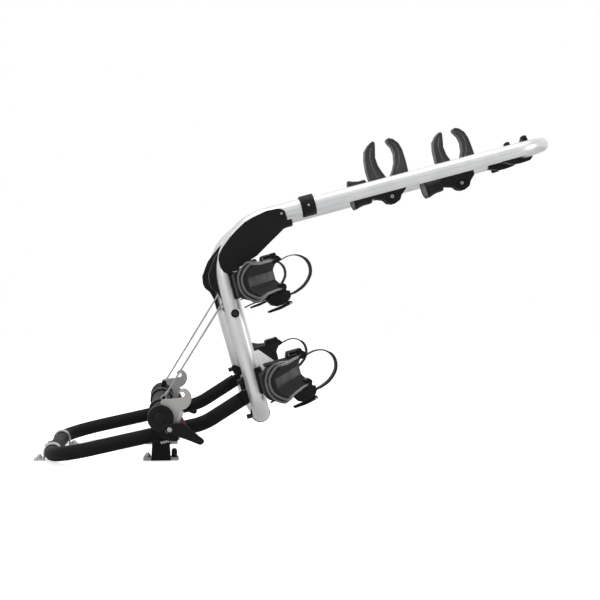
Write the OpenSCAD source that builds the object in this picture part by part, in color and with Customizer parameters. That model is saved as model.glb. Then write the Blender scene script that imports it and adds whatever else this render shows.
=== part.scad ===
// Drawbar bike rack for two bikes, shown tilted open.
// X runs from the rack's closed front end to its hinge, Y across the drawbar, Z up.
// The origin is the centre of the four foot bolts, on top of the drawbar.

/* [Base frame] */
// Outer diameter of the base tube
base_tube_d = 30; // [26:1:32]
// Sideways distance between a base leg and the platform leg beside it
side_step = 28; // [27:1:34]
// Distance from the foot bolts to the front crossbar
front_reach = 226; // [200:2:260]
// Height of the front crossbar's axis
front_z = 17; // [17:1:20]
// Bend radius at the front corners
base_corner_r = 90; // [70:5:90]
// Distance from the foot bolts to the bend of each base leg
knee_x = 88; // [80:1:100]
// Height of the bend of each base leg
knee_z = 84; // [80:1:90]
// Bend radius of each base leg
knee_r = 120; // [80:5:140]

/* [Hinge and tilt] */
// Distance from the foot bolts to the hinge axis
hinge_x = 192.3; // [188:0.1:200]
// Height of the hinge axis
hinge_z = 150; // [148:1:154]
// Lean of the tilting frame in the open pose, in degrees
open_lean = 15.2; // [12:0.1:18]
// Turn of the tilting frame from open to closed, in degrees
close_turn = 74.1; // [70:0.1:75]
// Diameter of the hinge pins
hinge_pin_d = 10; // [8:1:12]

/* [Tilting frame] */
// Outer diameter of the platform tube
platform_tube_d = 35; // [32:1:36]
// Wall of every tube
tube_wall = 2; // [1.5:0.5:3]
// Distance from the centre plane to each platform leg
leg_half = 251; // [250:1:256]
// Length from the hinge down to the bottom crossbar
heel_length = 50; // [46:1:54]
// Distance from the upper rail's centre to the start of the elbow above it
elbow_clear = 6; // [5:1:20]
// Bend radius of the elbows
elbow_r = 112; // [100:1:120]
// Bend radius of the bottom corners
heel_r = 52; // [50:1:56]
// Length from the elbow corner to the end of the elbow tube
elbow_reach = 200; // [190:1:210]
// Outer diameter of the hoop tube
hoop_tube_d = 30; // [28:1:30]
// Length from the elbow corner to the tip crossbar
hoop_reach = 738; // [700:1:760]
// Distance from the centre plane to the hoop's side at its tip
hoop_tip_half = 205; // [200:1:220]
// Bend radius of the hoop's tip corners
hoop_tip_r = 50; // [45:1:60]

/* [Cross tube and brackets] */
// Outer diameter of the cross tube that joins the brackets
cross_tube_d = 43; // [38:1:44]
// Height of the cross tube's axis
cross_z = 103; // [103:1:105]
// Diameter of the round bracket ends
bracket_d = 52; // [48:1:52]
// Sideways distance from a platform leg to the hook plate beside it
hook_step = 30; // [30:1:36]
// Thickness of the hook plates
hook_t = 8; // [6:1:8]
// Thickness of the round end caps
cap_t = 11; // [9:1:14]

/* [Lock] */
// Diameter of the lock bar
lock_bar_d = 10; // [8:0.5:10]
// Length from the hinge up to the lock bar
lock_length = 164.9; // [164:0.1:166]
// Turn of the hooks from open to locked, in degrees
hook_turn = 12.5; // [10:0.5:13]
// Diameter of the black caps on the lock bar
lock_cap_d = 17; // [14:1:20]

/* [Drawbar mounts] */
// Distance between the two bolts of a saddle
saddle_bolt_gap = 54; // [50:1:60]
// Sideways distance from a base leg to the foot inside it
foot_step = 85; // [72:1:100]
// Distance between the two bolts of a foot
foot_bolt_gap = 56; // [54:1:60]
// Width of the bolts in the saddles and feet
mount_bolt_d = 8; // [6:1:8]

/* [Wheel rails] */
// Height of the lower rail's centre above the hinge
rail_low = 21; // [20:1:26]
// Distance between the two rails
rail_gap = 198; // [190:1:230]
// Width of a rail
rail_w = 54; // [50:1:58]
// Depth of a rail
rail_depth = 34; // [30:1:38]
// Wall of a rail
rail_wall = 2.5; // [2:0.5:3]
// Length of a rail
rail_length = 660; // [620:10:660]

/* [Wheel holders] */
// Distance from the centre plane to the outer nose of a holder
holder_nose = 440; // [430:5:460]
// Length of a holder
holder_length = 180; // [170:5:180]
// Width of a holder
holder_w = 62; // [62:1:68]
// Rise of the holder's floor toward the centre, in degrees
holder_rise = 20.7; // [18:0.1:22]
// Width of the holder's flat floor
holder_floor_w = 20; // [18:1:24]
// Radius of the strap loop
strap_loop_r = 37; // [34:1:38]
// Width of the strap
strap_w = 22; // [20:1:24]
// Thickness of the strap
strap_t = 3; // [2.5:0.5:3.5]

/* [Bike arms] */
// Length of the long arm from the crossbar to its claw pivot
arm_long = 319; // [300:1:330]
// Length of the short arm from the crossbar to its claw pivot
arm_short = 126; // [124:1:140]
// Distance of the short arm from the centre plane
arm_short_y = 133; // [110:1:134]
// Droop of the short arm, in degrees
arm_short_droop = 4; // [3:0.5:6]
// Diameter of the arm tubes
arm_tube_d = 18; // [16:1:20]
// Height of a claw above its pivot
claw_h = 131; // [125:1:136]
// Width of a claw
claw_w = 30; // [28:1:34]
// Radius of the knobs over their lobes
knob_r = 37; // [34:1:38]
// Length of a knob
knob_length = 42; // [38:1:42]

/* [Cables] */
// Diameter of the steel cables
cable_d = 4; // [3:0.5:5]
// Height of the upper cable bolts above the hinge
cable_top = 207; // [200:1:212]

/* [Hidden] */
$fn = 48;

// Clearances
fit_gap = 0.3;
shaft_gap = 0.05;
overrun = 1;
// A bend is a hair thicker than its bars, and the bars reach a little into it
bend_swell = 0.12;
bend_lap = 2;

// Base frame values
base_half = leg_half - side_step;
hook_y = leg_half + hook_step;
foot_half = base_half - foot_step;
leg_length = rail_low + rail_gap + elbow_clear + elbow_r;
base_r = base_tube_d / 2;
platform_r = platform_tube_d / 2;
hoop_r = hoop_tube_d / 2;
cross_r = cross_tube_d / 2;
hinge = [hinge_x, 0, hinge_z];
rear_dir = [hinge_x - knee_x, 0, hinge_z - knee_z] / norm([hinge_x - knee_x, 0, hinge_z - knee_z]);
// Length of round base tube that is left off before the hinge
base_stop = 36;
base_end = [hinge_x, 0, hinge_z] - base_stop * rear_dir;
rear_tilt = atan2(rear_dir.z, rear_dir.x);

// Hinge values
plug_w = 30;
plug_step = 9;
plug_out_y = base_half + base_r - plug_step;
plug_in_y = plug_out_y - plug_w;
plug_eye_r = 13;
plug_sleeve = 30;
plug_neck = 24;
plug_cheek = 29;
plug_round = 20;
casting_w = 15;
casting_gap = 2;
casting_out_y = plug_in_y - casting_gap;
casting_in_y = casting_out_y - casting_w;
casting_ring_t = 2.3;
casting_ring_r = platform_r + casting_ring_t;
casting_bolt_d = 13;
casting_bolt_h = 10;
casting_root = 10;
casting_lug_x = 20;
casting_lug_z = 24;
casting_top = 32;
hinge_eye_r = 16;
casting_strip = 12;

// Bracket values
ring_t = 1.5;
ring_r = cross_r + ring_t;
bracket_r = bracket_d / 2;
bracket_cheek = 2;
bracket_in_y = base_half - base_r - bracket_cheek;
plate_gap = 1;
bracket_plate_y = leg_half + platform_r + plate_gap;
groove_outer_share = 0.56;
groove_inner_share = 0.51;
groove_depth = 1;
clamp_plate_t = 6;
base_slope = atan2(knee_z - front_z, knee_x + front_reach);
// Height of the base legs' axis over the foot bolts
base_over_feet = front_z + front_reach * tan(base_slope);
clamp_tooth = 3;
tooth_turn = 45;
clamp_teeth = 9;
clamp_length = 40;
pivot_ahead = 17.9;
pivot_below = 21.5;
latch_pivot = [pivot_ahead, cross_z - pivot_below];
latch_screw_d = 6;
latch_head_d = 10;
latch_head_h = 3;
latch_boss_r = 8;
lever_t = 10;
lever_y = hook_y + hook_t + cap_t + fit_gap + fit_gap;
slot_gap = 0.4;
slot_r = lock_bar_d / 2 + slot_gap;
// Where the lock bar stands when the frame is closed
closed_bar = [hinge_x, hinge_z] + turned([0, lock_length], open_lean + close_turn);
// Centre of the hook's slot in the open pose
slot_at = latch_pivot + turned(closed_bar - latch_pivot, -hook_turn);

// Mount values
saddle_w = 24;
saddle_t = 2.5;
saddle_liner_t = 0.8;
saddle_liner_w = 29;
saddle_ear = 11;
saddle_length = saddle_bolt_gap + 2 * saddle_ear;
bend_clear = 0.5;
saddle_half = base_half - base_corner_r - saddle_liner_w / 2 - bend_clear;
saddle_plate_t = 1.6;
pad_t = 1.2;
bolt_head_d = 13;
bolt_head_h = 5;
foot_w = 44;
foot_top_x = 18;
foot_bottom_x = 20.5;
foot_plate_ear = 9;
foot_plate_x = foot_bolt_gap / 2 + foot_plate_ear;
foot_plate_t = 4;
foot_ring_t = 4;
foot_ring_r = cross_r + foot_ring_t;
foot_nut_h = 8;
foot_cap_d = 11;
foot_cap_h = 14;

// Cable values
cable_lug_w = 12;
cable_lug_gap = 3;
cable_lug_y = bracket_in_y - cable_lug_gap - cable_lug_w / 2;
cable_low_x = 6;
cable_low_z = 135;
cable_eye_r = 6;
cable_bolt_d = 6;
cable_bolt_reach = 8;
cable_top_y = leg_half - platform_r - cable_bolt_reach;
ferrule_d = 8;
ferrule_length = 16;

// Tilting frame values, in the frame's own axes from the hinge
collar_w = 28;
collar_t = 3;
hoop_insert = 170;
hoop_bend_x = 220;
hoop_bend_r = 80;
lock_bar_tip = 2;
lock_bar_out = hook_y + hook_t + lock_bar_tip;
lock_cap_t = 7;
cover_t = 5;
cover_depth = 6;
cover_y = leg_half + platform_r - cover_depth;
cover_screw_d = 9;
cover_screw_share = 1.268;
collar_screw_d = 10;
screw_head_h = 2.5;
inner_cover_t = 7;

// Rail and holder values
rail_seat = 3.5;
rail_floor = platform_r + rail_seat;
rail_centres = [rail_low, rail_low + rail_gap];
rail_top = rail_floor + rail_depth;
rail_end = rail_length / 2;
clamp_cheek = 4;
clamp_depth = 14;
nose_floor = 29;
nose_wall = 3;
nose_lip = 18;
holder_base = 20;
nose_corner = 10;
nose_corner_length = 96;
skirt_base = 27;
trough_flare = 19;
trough_side = 19;
strap_inset = 15;
strap_centre_x = 133;
strap_centre_z = -7;
strap_swing = 112;
anchor_depth = 34;
anchor_x = 74;
anchor_top = 116;
window_wall = 3;
window_length = 20;
window_depth = 6;
anchor_side = 40;
buckle_x = 89;
buckle_side = -59;
buckle_hinge_x = 112;
buckle_hinge_z = -63;
buckle_nose = 3;
buckle_root = 42;
buckle_pin_r = 4;
buckle_length = 52;
// The lever's outline from its hinge, as shares of its length
buckle_shares = [
    [0.038, -0.058], [-0.058, 0.058], [-0.269, -0.038], [-0.577, -0.058], [-0.942, -0.096],
    [-1, -0.173], [-0.904, -0.231], [-0.538, -0.212], [-0.192, -0.154]
];

// Arm values
arm_long_y = 0;
arm_clamp_w = 28;
arm_clamp_r = 26;
arm_waist = 4;
// Outline of the clamp about the crossbar, as shares of its radius
arm_clamp_shares = [
    [-1.154, -0.846], [0, -0.923], [0.538, -0.769], [0.308, 0.846], [0.346, 1.308], [0.115, 1.308],
    [-0.154, 0.885]
];
arm_socket_r = 13;
arm_socket_length = 48;
arm_start = 30;
claw_pivot_drop = 21;
claw_boss_r = 15;
tongue_w = 14;
tongue_gap = 0.5;
cheek_left = 44;
cheek_right = 36;
cheek_low = 8;
cheek_high = 36;
bridge_w = 6;
claw_pin_d = 6;
claw_split = 38;
panel_depth = 1.5;
knob_gap = 3;
knob_lobe_share = 0.4;
knob_core_share = 0.55;
knob_rod_d = 8;
knob_step = 1.5;
knob_lobe_turns = [30, 150, 270];
rod_reach = 31;
// Outline of the moving finger above its tongue, as shares of the claw's height
finger_shares = [
    [-0.28, 0.29], [-0.30, 0.35], [-0.31, 0.53], [-0.29, 0.72], [-0.25, 0.86], [-0.17, 0.945],
    [-0.08, 1.00], [-0.05, 0.96], [-0.07, 0.87], [-0.11, 0.71], [-0.10, 0.57], [-0.06, 0.45],
    [-0.02, 0.36], [0.01, 0.29]
];
// Outline of the fixed finger, as shares of the claw's height
thumb_shares = [
    [0.07, 0.27], [0.07, 0.33], [0.15, 0.44], [0.21, 0.56], [0.235, 0.70], [0.22, 0.81],
    [0.17, 0.90], [0.155, 0.95], [0.19, 0.985], [0.27, 0.945], [0.345, 0.855], [0.38, 0.73],
    [0.39, 0.53], [0.385, 0.35], [0.27, 0.20], [0.10, 0.16]
];
// Outlines of the sunk panels on the fingers' sides
finger_panel_shares = [
    [-0.245, 0.33], [-0.27, 0.53], [-0.25, 0.71], [-0.205, 0.85], [-0.12, 0.93], [-0.15, 0.72], [-0.14, 0.56],
    [-0.09, 0.42], [-0.05, 0.33]
];
thumb_panel_shares = [
    [0.14, 0.35], [0.20, 0.45], [0.255, 0.57], [0.28, 0.70], [0.265, 0.82], [0.225, 0.92], [0.305, 0.83],
    [0.335, 0.72], [0.345, 0.53], [0.335, 0.37], [0.26, 0.30]
];
tongue_shares = [
    [-0.06, -0.06], [-0.16, 0.06], [-0.26, 0.26], [-0.28, 0.295], [0.00, 0.295], [0.03, 0.15],
    [0.06, -0.06]
];

// Corner clip values
clip_w = 16;
clip_t = 4;
clip_lug = 12;

// Colours
black = "#1c1c1e";
dark = "#2a2a2c";
zinc = "#b7b7b4";
plate_grey = "#969694";
silver = "#d9dad9";
red = "#7a2438";

// A point in the XZ plane turned about the origin, anticlockwise as seen from the near side
function turned(p, a) = [p.x * cos(a) - p.y * sin(a), p.x * sin(a) + p.y * cos(a)];
// A point of the tilting frame in the open pose
function open_point(p) =
    let (t = turned([p.x, p.z], open_lean)) [hinge_x + t.x, p.y, hinge_z + t.y];
function unit(v) = v / norm(v);
function turn_angle(a, b, c) = acos(unit(b - a) * unit(c - b));
function setback(a, b, c, r) = r * tan(turn_angle(a, b, c) / 2);
function mirrored(p) = [p.x, -p.y, p.z];

// A straight round bar between two points
module bar(a, b, r) {
    d = b - a;
    translate(a)
        rotate([0, acos(d.z / norm(d)), atan2(d.y, d.x)])
            cylinder(h = norm(d), r = r);
}

// A round bend of a bar at the corner b between a and c
module bend(a, b, c, bend_r, r) {
    into = unit(b - a);
    turn = turn_angle(a, b, c);
    start = b - setback(a, b, c, bend_r) * into;
    centre = b + unit(unit(a - b) + unit(c - b)) * bend_r / cos(turn / 2);
    x = unit(start - centre);
    z = cross(x, into);
    multmatrix([
        [x.x, into.x, z.x, centre.x],
        [x.y, into.y, z.y, centre.y],
        [x.z, into.z, z.z, centre.z],
        [0, 0, 0, 1]
    ])
        rotate_extrude(angle = turn)
            translate([bend_r, 0])
                circle(r = r);
}

// A bar along a path, with one bend radius for each inner corner, and its ends longer by extra
module bent_bar(path, bends, r, extra = 0) {
    last = len(path) - 1;
    for (i = [0:last - 1]) {
        into = unit(path[i + 1] - path[i]);
        from = i == 0 ? path[0] - extra * into
            : path[i] + (setback(path[i - 1], path[i], path[i + 1], bends[i - 1]) - bend_lap) * into;
        to = i == last - 1 ? path[last] + extra * into
            : path[i + 1] - (setback(path[i], path[i + 1], path[i + 2], bends[i]) - bend_lap) * into;
        bar(from, to, r);
    }
    for (i = [1:last - 1])
        bend(path[i - 1], path[i], path[i + 1], bends[i - 1], r + bend_swell);
}

module bent_tube(path, bends, r) {
    difference() {
        bent_bar(path, bends, r);
        bent_bar(path, bends, r - tube_wall, overrun);
    }
}

// Parts are drawn on the near side, which is at negative Y, and mirrored for the far side
module on_side(side) {
    if (side == "near") children();
    else mirror([0, 1, 0]) children();
}

module both_sides() {
    on_side("near") children();
    on_side("far") children();
}

// The tilting frame's own axes: X along the hoop, Z up the legs, origin at the hinge
module tilting() {
    translate(hinge) rotate([0, -open_lean, 0]) children();
}

// A round bar along Y on the near side, from the distance y0 to y1 off the centre plane
module cross_bar(x, z, y0, y1, r) {
    translate([x, -y0, z]) rotate([90, 0, 0]) cylinder(h = y1 - y0, r = r);
}

// An outline in the XZ plane made a plate on the near side from the distance y0 to y1
module side_plate(y0, y1) {
    translate([0, -y0, 0]) rotate([90, 0, 0]) linear_extrude(height = y1 - y0) children();
}

module hex_head(d, h) {
    cylinder(h = h, d = d, $fn = 6);
}

// Base frame

base_path = [
    [base_end.x, -base_half, base_end.z], [knee_x, -base_half, knee_z],
    [-front_reach, -base_half, front_z], [-front_reach, base_half, front_z],
    [knee_x, base_half, knee_z], [base_end.x, base_half, base_end.z]
];
base_bends = [knee_r, base_corner_r, base_corner_r, knee_r];

module base_tube() {
    color(black)
        bent_tube(base_path, base_bends, base_r);
}

module saddles() {
    band_in = base_r + saddle_liner_t + fit_gap;
    color(zinc)
        both_sides()
            translate([-front_reach, 0, 0])
                difference() {
                    union() {
                        cross_bar(0, front_z, saddle_half - saddle_w / 2, saddle_half + saddle_w / 2,
                            band_in + saddle_t);
                        translate([-saddle_length / 2, -saddle_half - saddle_w / 2, 0])
                            cube([saddle_length, saddle_w, saddle_plate_t + saddle_t]);
                    }
                    cross_bar(0, front_z, saddle_half - saddle_w / 2 - overrun,
                        saddle_half + saddle_w / 2 + overrun, band_in);
                    translate([-saddle_length / 2, -saddle_half - saddle_w / 2 - overrun, -saddle_length])
                        cube([saddle_length, saddle_w + 2 * overrun, saddle_length]);
                    for (x = [-saddle_bolt_gap / 2, saddle_bolt_gap / 2])
                        translate([x, -saddle_half, -overrun])
                            cylinder(h = saddle_length, d = mount_bolt_d + shaft_gap * 2);
                }
}

module saddle_liners() {
    color(dark)
        both_sides()
            difference() {
                cross_bar(-front_reach, front_z, saddle_half - saddle_liner_w / 2,
                    saddle_half + saddle_liner_w / 2, base_r + saddle_liner_t);
                cross_bar(-front_reach, front_z, saddle_half - saddle_liner_w / 2 - overrun,
                    saddle_half + saddle_liner_w / 2 + overrun, base_r + shaft_gap);
                translate([-front_reach - base_tube_d, -saddle_half - saddle_w, -base_tube_d])
                    cube([2 * base_tube_d, 2 * saddle_w, base_tube_d + saddle_plate_t]);
            }
}

module cross_tube() {
    lug = unit([cable_low_x, 0, cable_low_z - cross_z]);
    color(black) {
        difference() {
            union() {
                cross_bar(0, cross_z, 0, bracket_plate_y - overrun, cross_r);
                mirror([0, 1, 0]) cross_bar(0, cross_z, 0, bracket_plate_y - overrun, cross_r);
                both_sides() {
                    cross_bar(0, cross_z, cable_lug_y - cable_lug_w / 2, cable_lug_y + cable_lug_w / 2,
                        ring_r);
                    difference() {
                        hull() {
                            cross_bar(cable_low_x, cable_low_z, cable_lug_y - cable_lug_w / 4,
                                cable_lug_y + cable_lug_w / 4, cable_bolt_d, $fn = 32);
                            cross_bar(0, cross_z, cable_lug_y - cable_lug_w / 4,
                                cable_lug_y + cable_lug_w / 4, cable_bolt_d, $fn = 32);
                        }
                        cross_bar(cable_low_x, cable_low_z, cable_lug_y - cable_lug_w,
                            cable_lug_y + cable_lug_w, cable_bolt_d / 2);
                    }
                }
            }
            cross_bar(0, cross_z, -bracket_plate_y, bracket_plate_y, cross_r - tube_wall);
        }
    }
}

// Outline of the bracket's lower body from the cross tube's axis, as shares of the bracket's diameter
bracket_shares = [
    [-0.231, 0], [-0.212, -0.442], [-0.115, -0.673], [0.038, -0.827], [0.154, -0.962], [0.385, -1.029],
    [0.654, -0.962], [0.692, -0.769], [0.577, -0.5], [0.385, 0]
];
bracket_outline = [for (p = bracket_shares) [0, cross_z] + p * bracket_d];

module bracket(side) {
    color(dark)
        on_side(side)
            difference() {
                union() {
                    cross_bar(0, cross_z, bracket_in_y, bracket_plate_y, ring_r + fit_gap);
                    cross_bar(0, cross_z, bracket_plate_y, hook_y - fit_gap, bracket_r);
                    side_plate(bracket_in_y, base_half + base_r + saddle_t)
                        polygon([for (p = bracket_outline) [p.x, min(p.y, cross_z)]]);
                    side_plate(base_half + base_r, hook_y - fit_gap)
                        polygon(bracket_outline);
                }
                cross_bar(0, cross_z, bracket_in_y - overrun, bracket_plate_y + fit_gap, cross_r + shaft_gap);
                bar([-front_reach, -base_half, front_z],
                    [knee_x, -base_half, knee_z] + unit([knee_x + front_reach, 0, knee_z - front_z]),
                    base_r + fit_gap);
                along_base_leg()
                    translate([-front_reach, -base_r - saddle_t - fit_gap, -base_r - cross_z])
                        cube([2 * front_reach, 2 * base_tube_d, cross_z]);
                cross_bar(latch_pivot.x, latch_pivot.y, base_half, hook_y, latch_screw_d / 2 + shaft_gap);
            }
}

module end_caps() {
    color(black)
        both_sides()
            difference() {
                union() {
                    cross_bar(0, cross_z, hook_y + hook_t + fit_gap, hook_y + hook_t + fit_gap + cap_t, bracket_r);
                    cross_bar(0, cross_z, hook_y - fit_gap, hook_y + hook_t + 2 * fit_gap, latch_screw_d);
                }
                cross_bar(latch_pivot.x, latch_pivot.y, hook_y - overrun, hook_y + hook_t + 2 * cap_t,
                    latch_boss_r + fit_gap);
                difference() {
                    cross_bar(0, cross_z, hook_y + hook_t + cap_t - groove_depth, hook_y + hook_t + 2 * cap_t,
                        bracket_r * groove_outer_share);
                    cross_bar(0, cross_z, hook_y + hook_t, hook_y + hook_t + 2 * cap_t,
                        bracket_r * groove_inner_share);
                }
            }
}

// The base leg's own axes above the foot bolts: X along the leg
module along_base_leg() {
    translate([0, -base_half, base_over_feet]) rotate([0, -base_slope, 0]) children();
}

module clamp_plates() {
    pitch = clamp_length / clamp_teeth;
    color(zinc)
        both_sides()
            along_base_leg()
                translate([-pitch, -base_r, -base_r - shaft_gap - clamp_plate_t])
                    difference() {
                        cube([clamp_length, base_tube_d, clamp_plate_t]);
                        for (i = [0:clamp_teeth - 1])
                            translate([i * pitch, -overrun, 0])
                                rotate([0, tooth_turn, 0])
                                    cube([clamp_tooth, base_tube_d + 2 * overrun, clamp_tooth]);
                    }
}

module feet() {
    color(dark)
        both_sides()
            difference() {
                union() {
                    side_plate(foot_half - foot_w / 2, foot_half + foot_w / 2)
                        polygon([
                            [-foot_bottom_x, 0], [-foot_top_x, foot_w], [-foot_top_x, cross_z],
                            [foot_top_x, cross_z], [foot_top_x, foot_w], [foot_bottom_x, 0]
                        ]);
                    cross_bar(0, cross_z, foot_half - foot_w / 2, foot_half + foot_w / 2, foot_ring_r);
                    translate([-foot_plate_x, -foot_half - foot_w / 2, 0])
                        cube([2 * foot_plate_x, foot_w, foot_plate_t]);
                }
                cross_bar(0, cross_z, foot_half - foot_w, foot_half + foot_w, cross_r + shaft_gap);
                for (x = [-foot_bolt_gap / 2, foot_bolt_gap / 2])
                    translate([x, -foot_half, -overrun])
                        cylinder(h = foot_w, d = mount_bolt_d + shaft_gap * 2);
            }
}

module ring_nut(h) {
    difference() {
        hex_head(bolt_head_d, h);
        translate([0, 0, -overrun]) cylinder(h = h + 2 * overrun, d = mount_bolt_d + shaft_gap * 2);
    }
}

module base_nuts() {
    color(zinc)
        both_sides() {
            for (x = [-saddle_bolt_gap / 2, saddle_bolt_gap / 2])
                translate([x - front_reach, -saddle_half, saddle_plate_t + saddle_t]) ring_nut(bolt_head_h);
            for (x = [-foot_bolt_gap / 2, foot_bolt_gap / 2])
                translate([x, -foot_half, foot_plate_t]) ring_nut(foot_nut_h);
        }
}

module foot_caps() {
    color(black)
        both_sides()
            translate([foot_bolt_gap / 2, -foot_half, foot_plate_t + foot_nut_h])
                difference() {
                    cylinder(h = foot_cap_h, d = foot_cap_d);
                    translate([0, 0, -overrun])
                        cylinder(h = foot_cap_h + 2 * overrun, d = mount_bolt_d + shaft_gap * 2);
                }
}

module hinge_plugs() {
    eye = [hinge_x, 0, hinge_z];
    color(black)
        both_sides()
            difference() {
                union() {
                    bar([base_end.x, -base_half, base_end.z] - plug_sleeve * rear_dir,
                        [base_end.x, -base_half, base_end.z] + overrun * rear_dir,
                        base_r - tube_wall - shaft_gap);
                    intersection() {
                        bar([base_end.x, -base_half, base_end.z],
                            [hinge_x, -base_half, hinge_z] - plug_round * rear_dir, base_r);
                        side_plate(plug_in_y, plug_out_y)
                            translate([base_end.x - base_stop, base_end.z - base_stop])
                                square(4 * base_stop);
                    }
                    cross_bar(eye.x, eye.z, plug_in_y, plug_out_y, plug_eye_r);
                    translate([hinge_x, -plug_out_y, hinge_z])
                        rotate([0, -rear_tilt, 0])
                            translate([-plug_cheek - hinge_pin_d / 2, 0, -plug_neck / 2])
                                cube([plug_cheek - overrun, plug_out_y - plug_in_y, plug_neck]);
                }
                cross_bar(eye.x, eye.z, plug_in_y - overrun, plug_out_y + overrun, hinge_pin_d / 2 + shaft_gap);
            }
}

module rest_pads() {
    color(dark)
        both_sides()
            difference() {
                cross_bar(0, cross_z, leg_half - platform_r, bracket_plate_y - overrun, ring_r + 2 * fit_gap + pad_t);
                cross_bar(0, cross_z, base_half, hook_y, ring_r + 2 * fit_gap);
                translate([-cross_tube_d, -hook_y, 0])
                    cube([2 * cross_tube_d, hook_y, cross_z + cross_r / 2]);
            }
}

module latch_screws() {
    color(zinc)
        both_sides() {
            cross_bar(latch_pivot.x, latch_pivot.y, bracket_plate_y, lever_y + lever_t + fit_gap, latch_screw_d / 2);
                cross_bar(latch_pivot.x, latch_pivot.y, lever_y + lever_t + fit_gap, lever_y + lever_t + latch_head_h,
                latch_head_d / 2);
        }
}

// Cables

module cable(side) {
    low = [cable_low_x, -cable_lug_y - cable_lug_w / 4 - cable_d / 2 - fit_gap, cable_low_z];
    high = open_point([0, -cable_top_y + cable_d / 2, cable_top]);
    along = unit(high - low);
    color(zinc)
        on_side(side) {
            bar(low + cable_eye_r * along, high - cable_eye_r * along, cable_d / 2);
            for (end = [[low, 1], [high, -1]])
                bar(end[0] + end[1] * (cable_eye_r + cable_d / 2) * along,
                    end[0] + end[1] * (cable_eye_r + ferrule_length) * along, ferrule_d / 2);
            for (end = [low, high])
                translate(end) rotate([90, 0, 0])
                    rotate_extrude() translate([cable_eye_r, 0]) circle(r = cable_d / 2);
        }
}

// Hooks, levers and flags

slot_steps = 12;
slot_from = -105;
slot_to = 150;
// The hook's outline in its own axes from the pivot to the slot, as shares of that distance: up to the
// slot's mouth, and round from there
hook_reach = norm(slot_at - latch_pivot);
hook_axis = atan2(slot_at.y - latch_pivot.y, slot_at.x - latch_pivot.x);
hook_front_shares = [
    [0.5745, 0.4942], [0.655, 0.4789], [0.7158, 0.4113], [0.7938, 0.2154], [0.8577, 0.0742]
];
hook_rear_shares = [
    [1.017, 0.1133], [1.0881, 0.099], [1.1471, 0.0608], [1.1885, 0.0011], [1.1872, -0.0892],
    [1.1376, -0.1823], [1.073, -0.2509], [0.9831, -0.2915], [0.8523, -0.3021], [0.7537, -0.2785],
    [0.6767, -0.2319], [0.5966, -0.1565], [0.488, -0.1665], [0.2457, -0.2406], [0.0319, -0.2293],
    [-0.1089, -0.1314], [-0.1539, 0.0318], [-0.0678, 0.1233], [0.0787, 0.1322], [0.2203, 0.1543],
    [0.3786, 0.2125], [0.5078, 0.3499]
];
hook_outline = [
    for (p = hook_front_shares) latch_pivot + turned(p * hook_reach, hook_axis),
    for (i = [0:slot_steps])
        let (a = slot_from + (slot_to - slot_from) * i / slot_steps) slot_at + slot_r * [cos(a), sin(a)],
    for (p = hook_rear_shares) latch_pivot + turned(p * hook_reach, hook_axis)
];

module hook(side) {
    color(plate_grey)
        on_side(side)
            difference() {
                side_plate(hook_y, hook_y + hook_t) polygon(hook_outline);
                cross_bar(latch_pivot.x, latch_pivot.y, hook_y - overrun, hook_y + hook_t + overrun,
                    latch_screw_d / 2 + shaft_gap);
            }
}

lever_length = 68;
lever_shares = [
    [-0.146, 0.037], [-0.101, 0.125], [0.001, 0.169], [0.34, 0.184], [0.59, 0.051], [0.81, -0.125],
    [0.972, -0.287], [0.987, -0.375], [0.928, -0.449], [0.825, -0.463], [0.56, -0.375],
    [0.296, -0.257], [0.06, -0.169], [-0.087, -0.11], [-0.146, -0.037]
];

// The flag behind the lever, as shares of the lever's length from its pivot
flag_shares = [
    [0.237, 0.037], [0.296, 0.213], [0.369, 0.331], [0.413, 0.243], [0.487, 0.11], [0.384, 0.007]
];

module lever(side) {
    color(black)
        on_side(side)
            difference() {
                union() {
                    side_plate(lever_y, lever_y + lever_t) polygon([for (p = lever_shares) latch_pivot + p * lever_length]);
                    cross_bar(latch_pivot.x, latch_pivot.y, hook_y + hook_t, lever_y, latch_boss_r);
                }
                cross_bar(latch_pivot.x, latch_pivot.y, hook_y, lever_y + lever_t + overrun,
                    latch_screw_d / 2 + shaft_gap);
            }
}

module flag(side) {
    color(red)
        on_side(side)
            side_plate(hook_y + hook_t, lever_y)
                polygon([for (p = flag_shares) latch_pivot + p * lever_length]);
}

// Tilting frame

platform_path = [
    [elbow_reach, -leg_half, leg_length], [0, -leg_half, leg_length], [0, -leg_half, -heel_length],
    [0, leg_half, -heel_length], [0, leg_half, leg_length], [elbow_reach, leg_half, leg_length]
];
hoop_path = [
    [hoop_insert, -leg_half, leg_length], [hoop_bend_x, -leg_half, leg_length],
    [hoop_reach, -hoop_tip_half, leg_length], [hoop_reach, hoop_tip_half, leg_length],
    [hoop_bend_x, leg_half, leg_length], [hoop_insert, leg_half, leg_length]
];

// The near leg with both its bends as one solid bar of the radius r
module leg_and_elbow(r) {
    bent_bar([platform_path[0], platform_path[1], platform_path[2], [0, 0, -heel_length]],
        [elbow_r, heel_r], r);
}

module platform_tube() {
    color(silver)
        tilting()
            difference() {
                bent_tube(platform_path, [elbow_r, heel_r, heel_r, elbow_r], platform_r);
                both_sides() {
                    cross_bar(0, 0, plug_out_y, leg_half + 2 * platform_r, hinge_pin_d / 2 + shaft_gap);
                    cross_bar(0, lock_length, plug_out_y, leg_half + 2 * platform_r,
                        lock_bar_d / 2 + shaft_gap);
                }
            }
}

module hoop_tube() {
    color(silver)
        tilting()
            bent_tube(hoop_path, [hoop_bend_r, hoop_tip_r, hoop_tip_r, hoop_bend_r], hoop_r);
}

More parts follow.
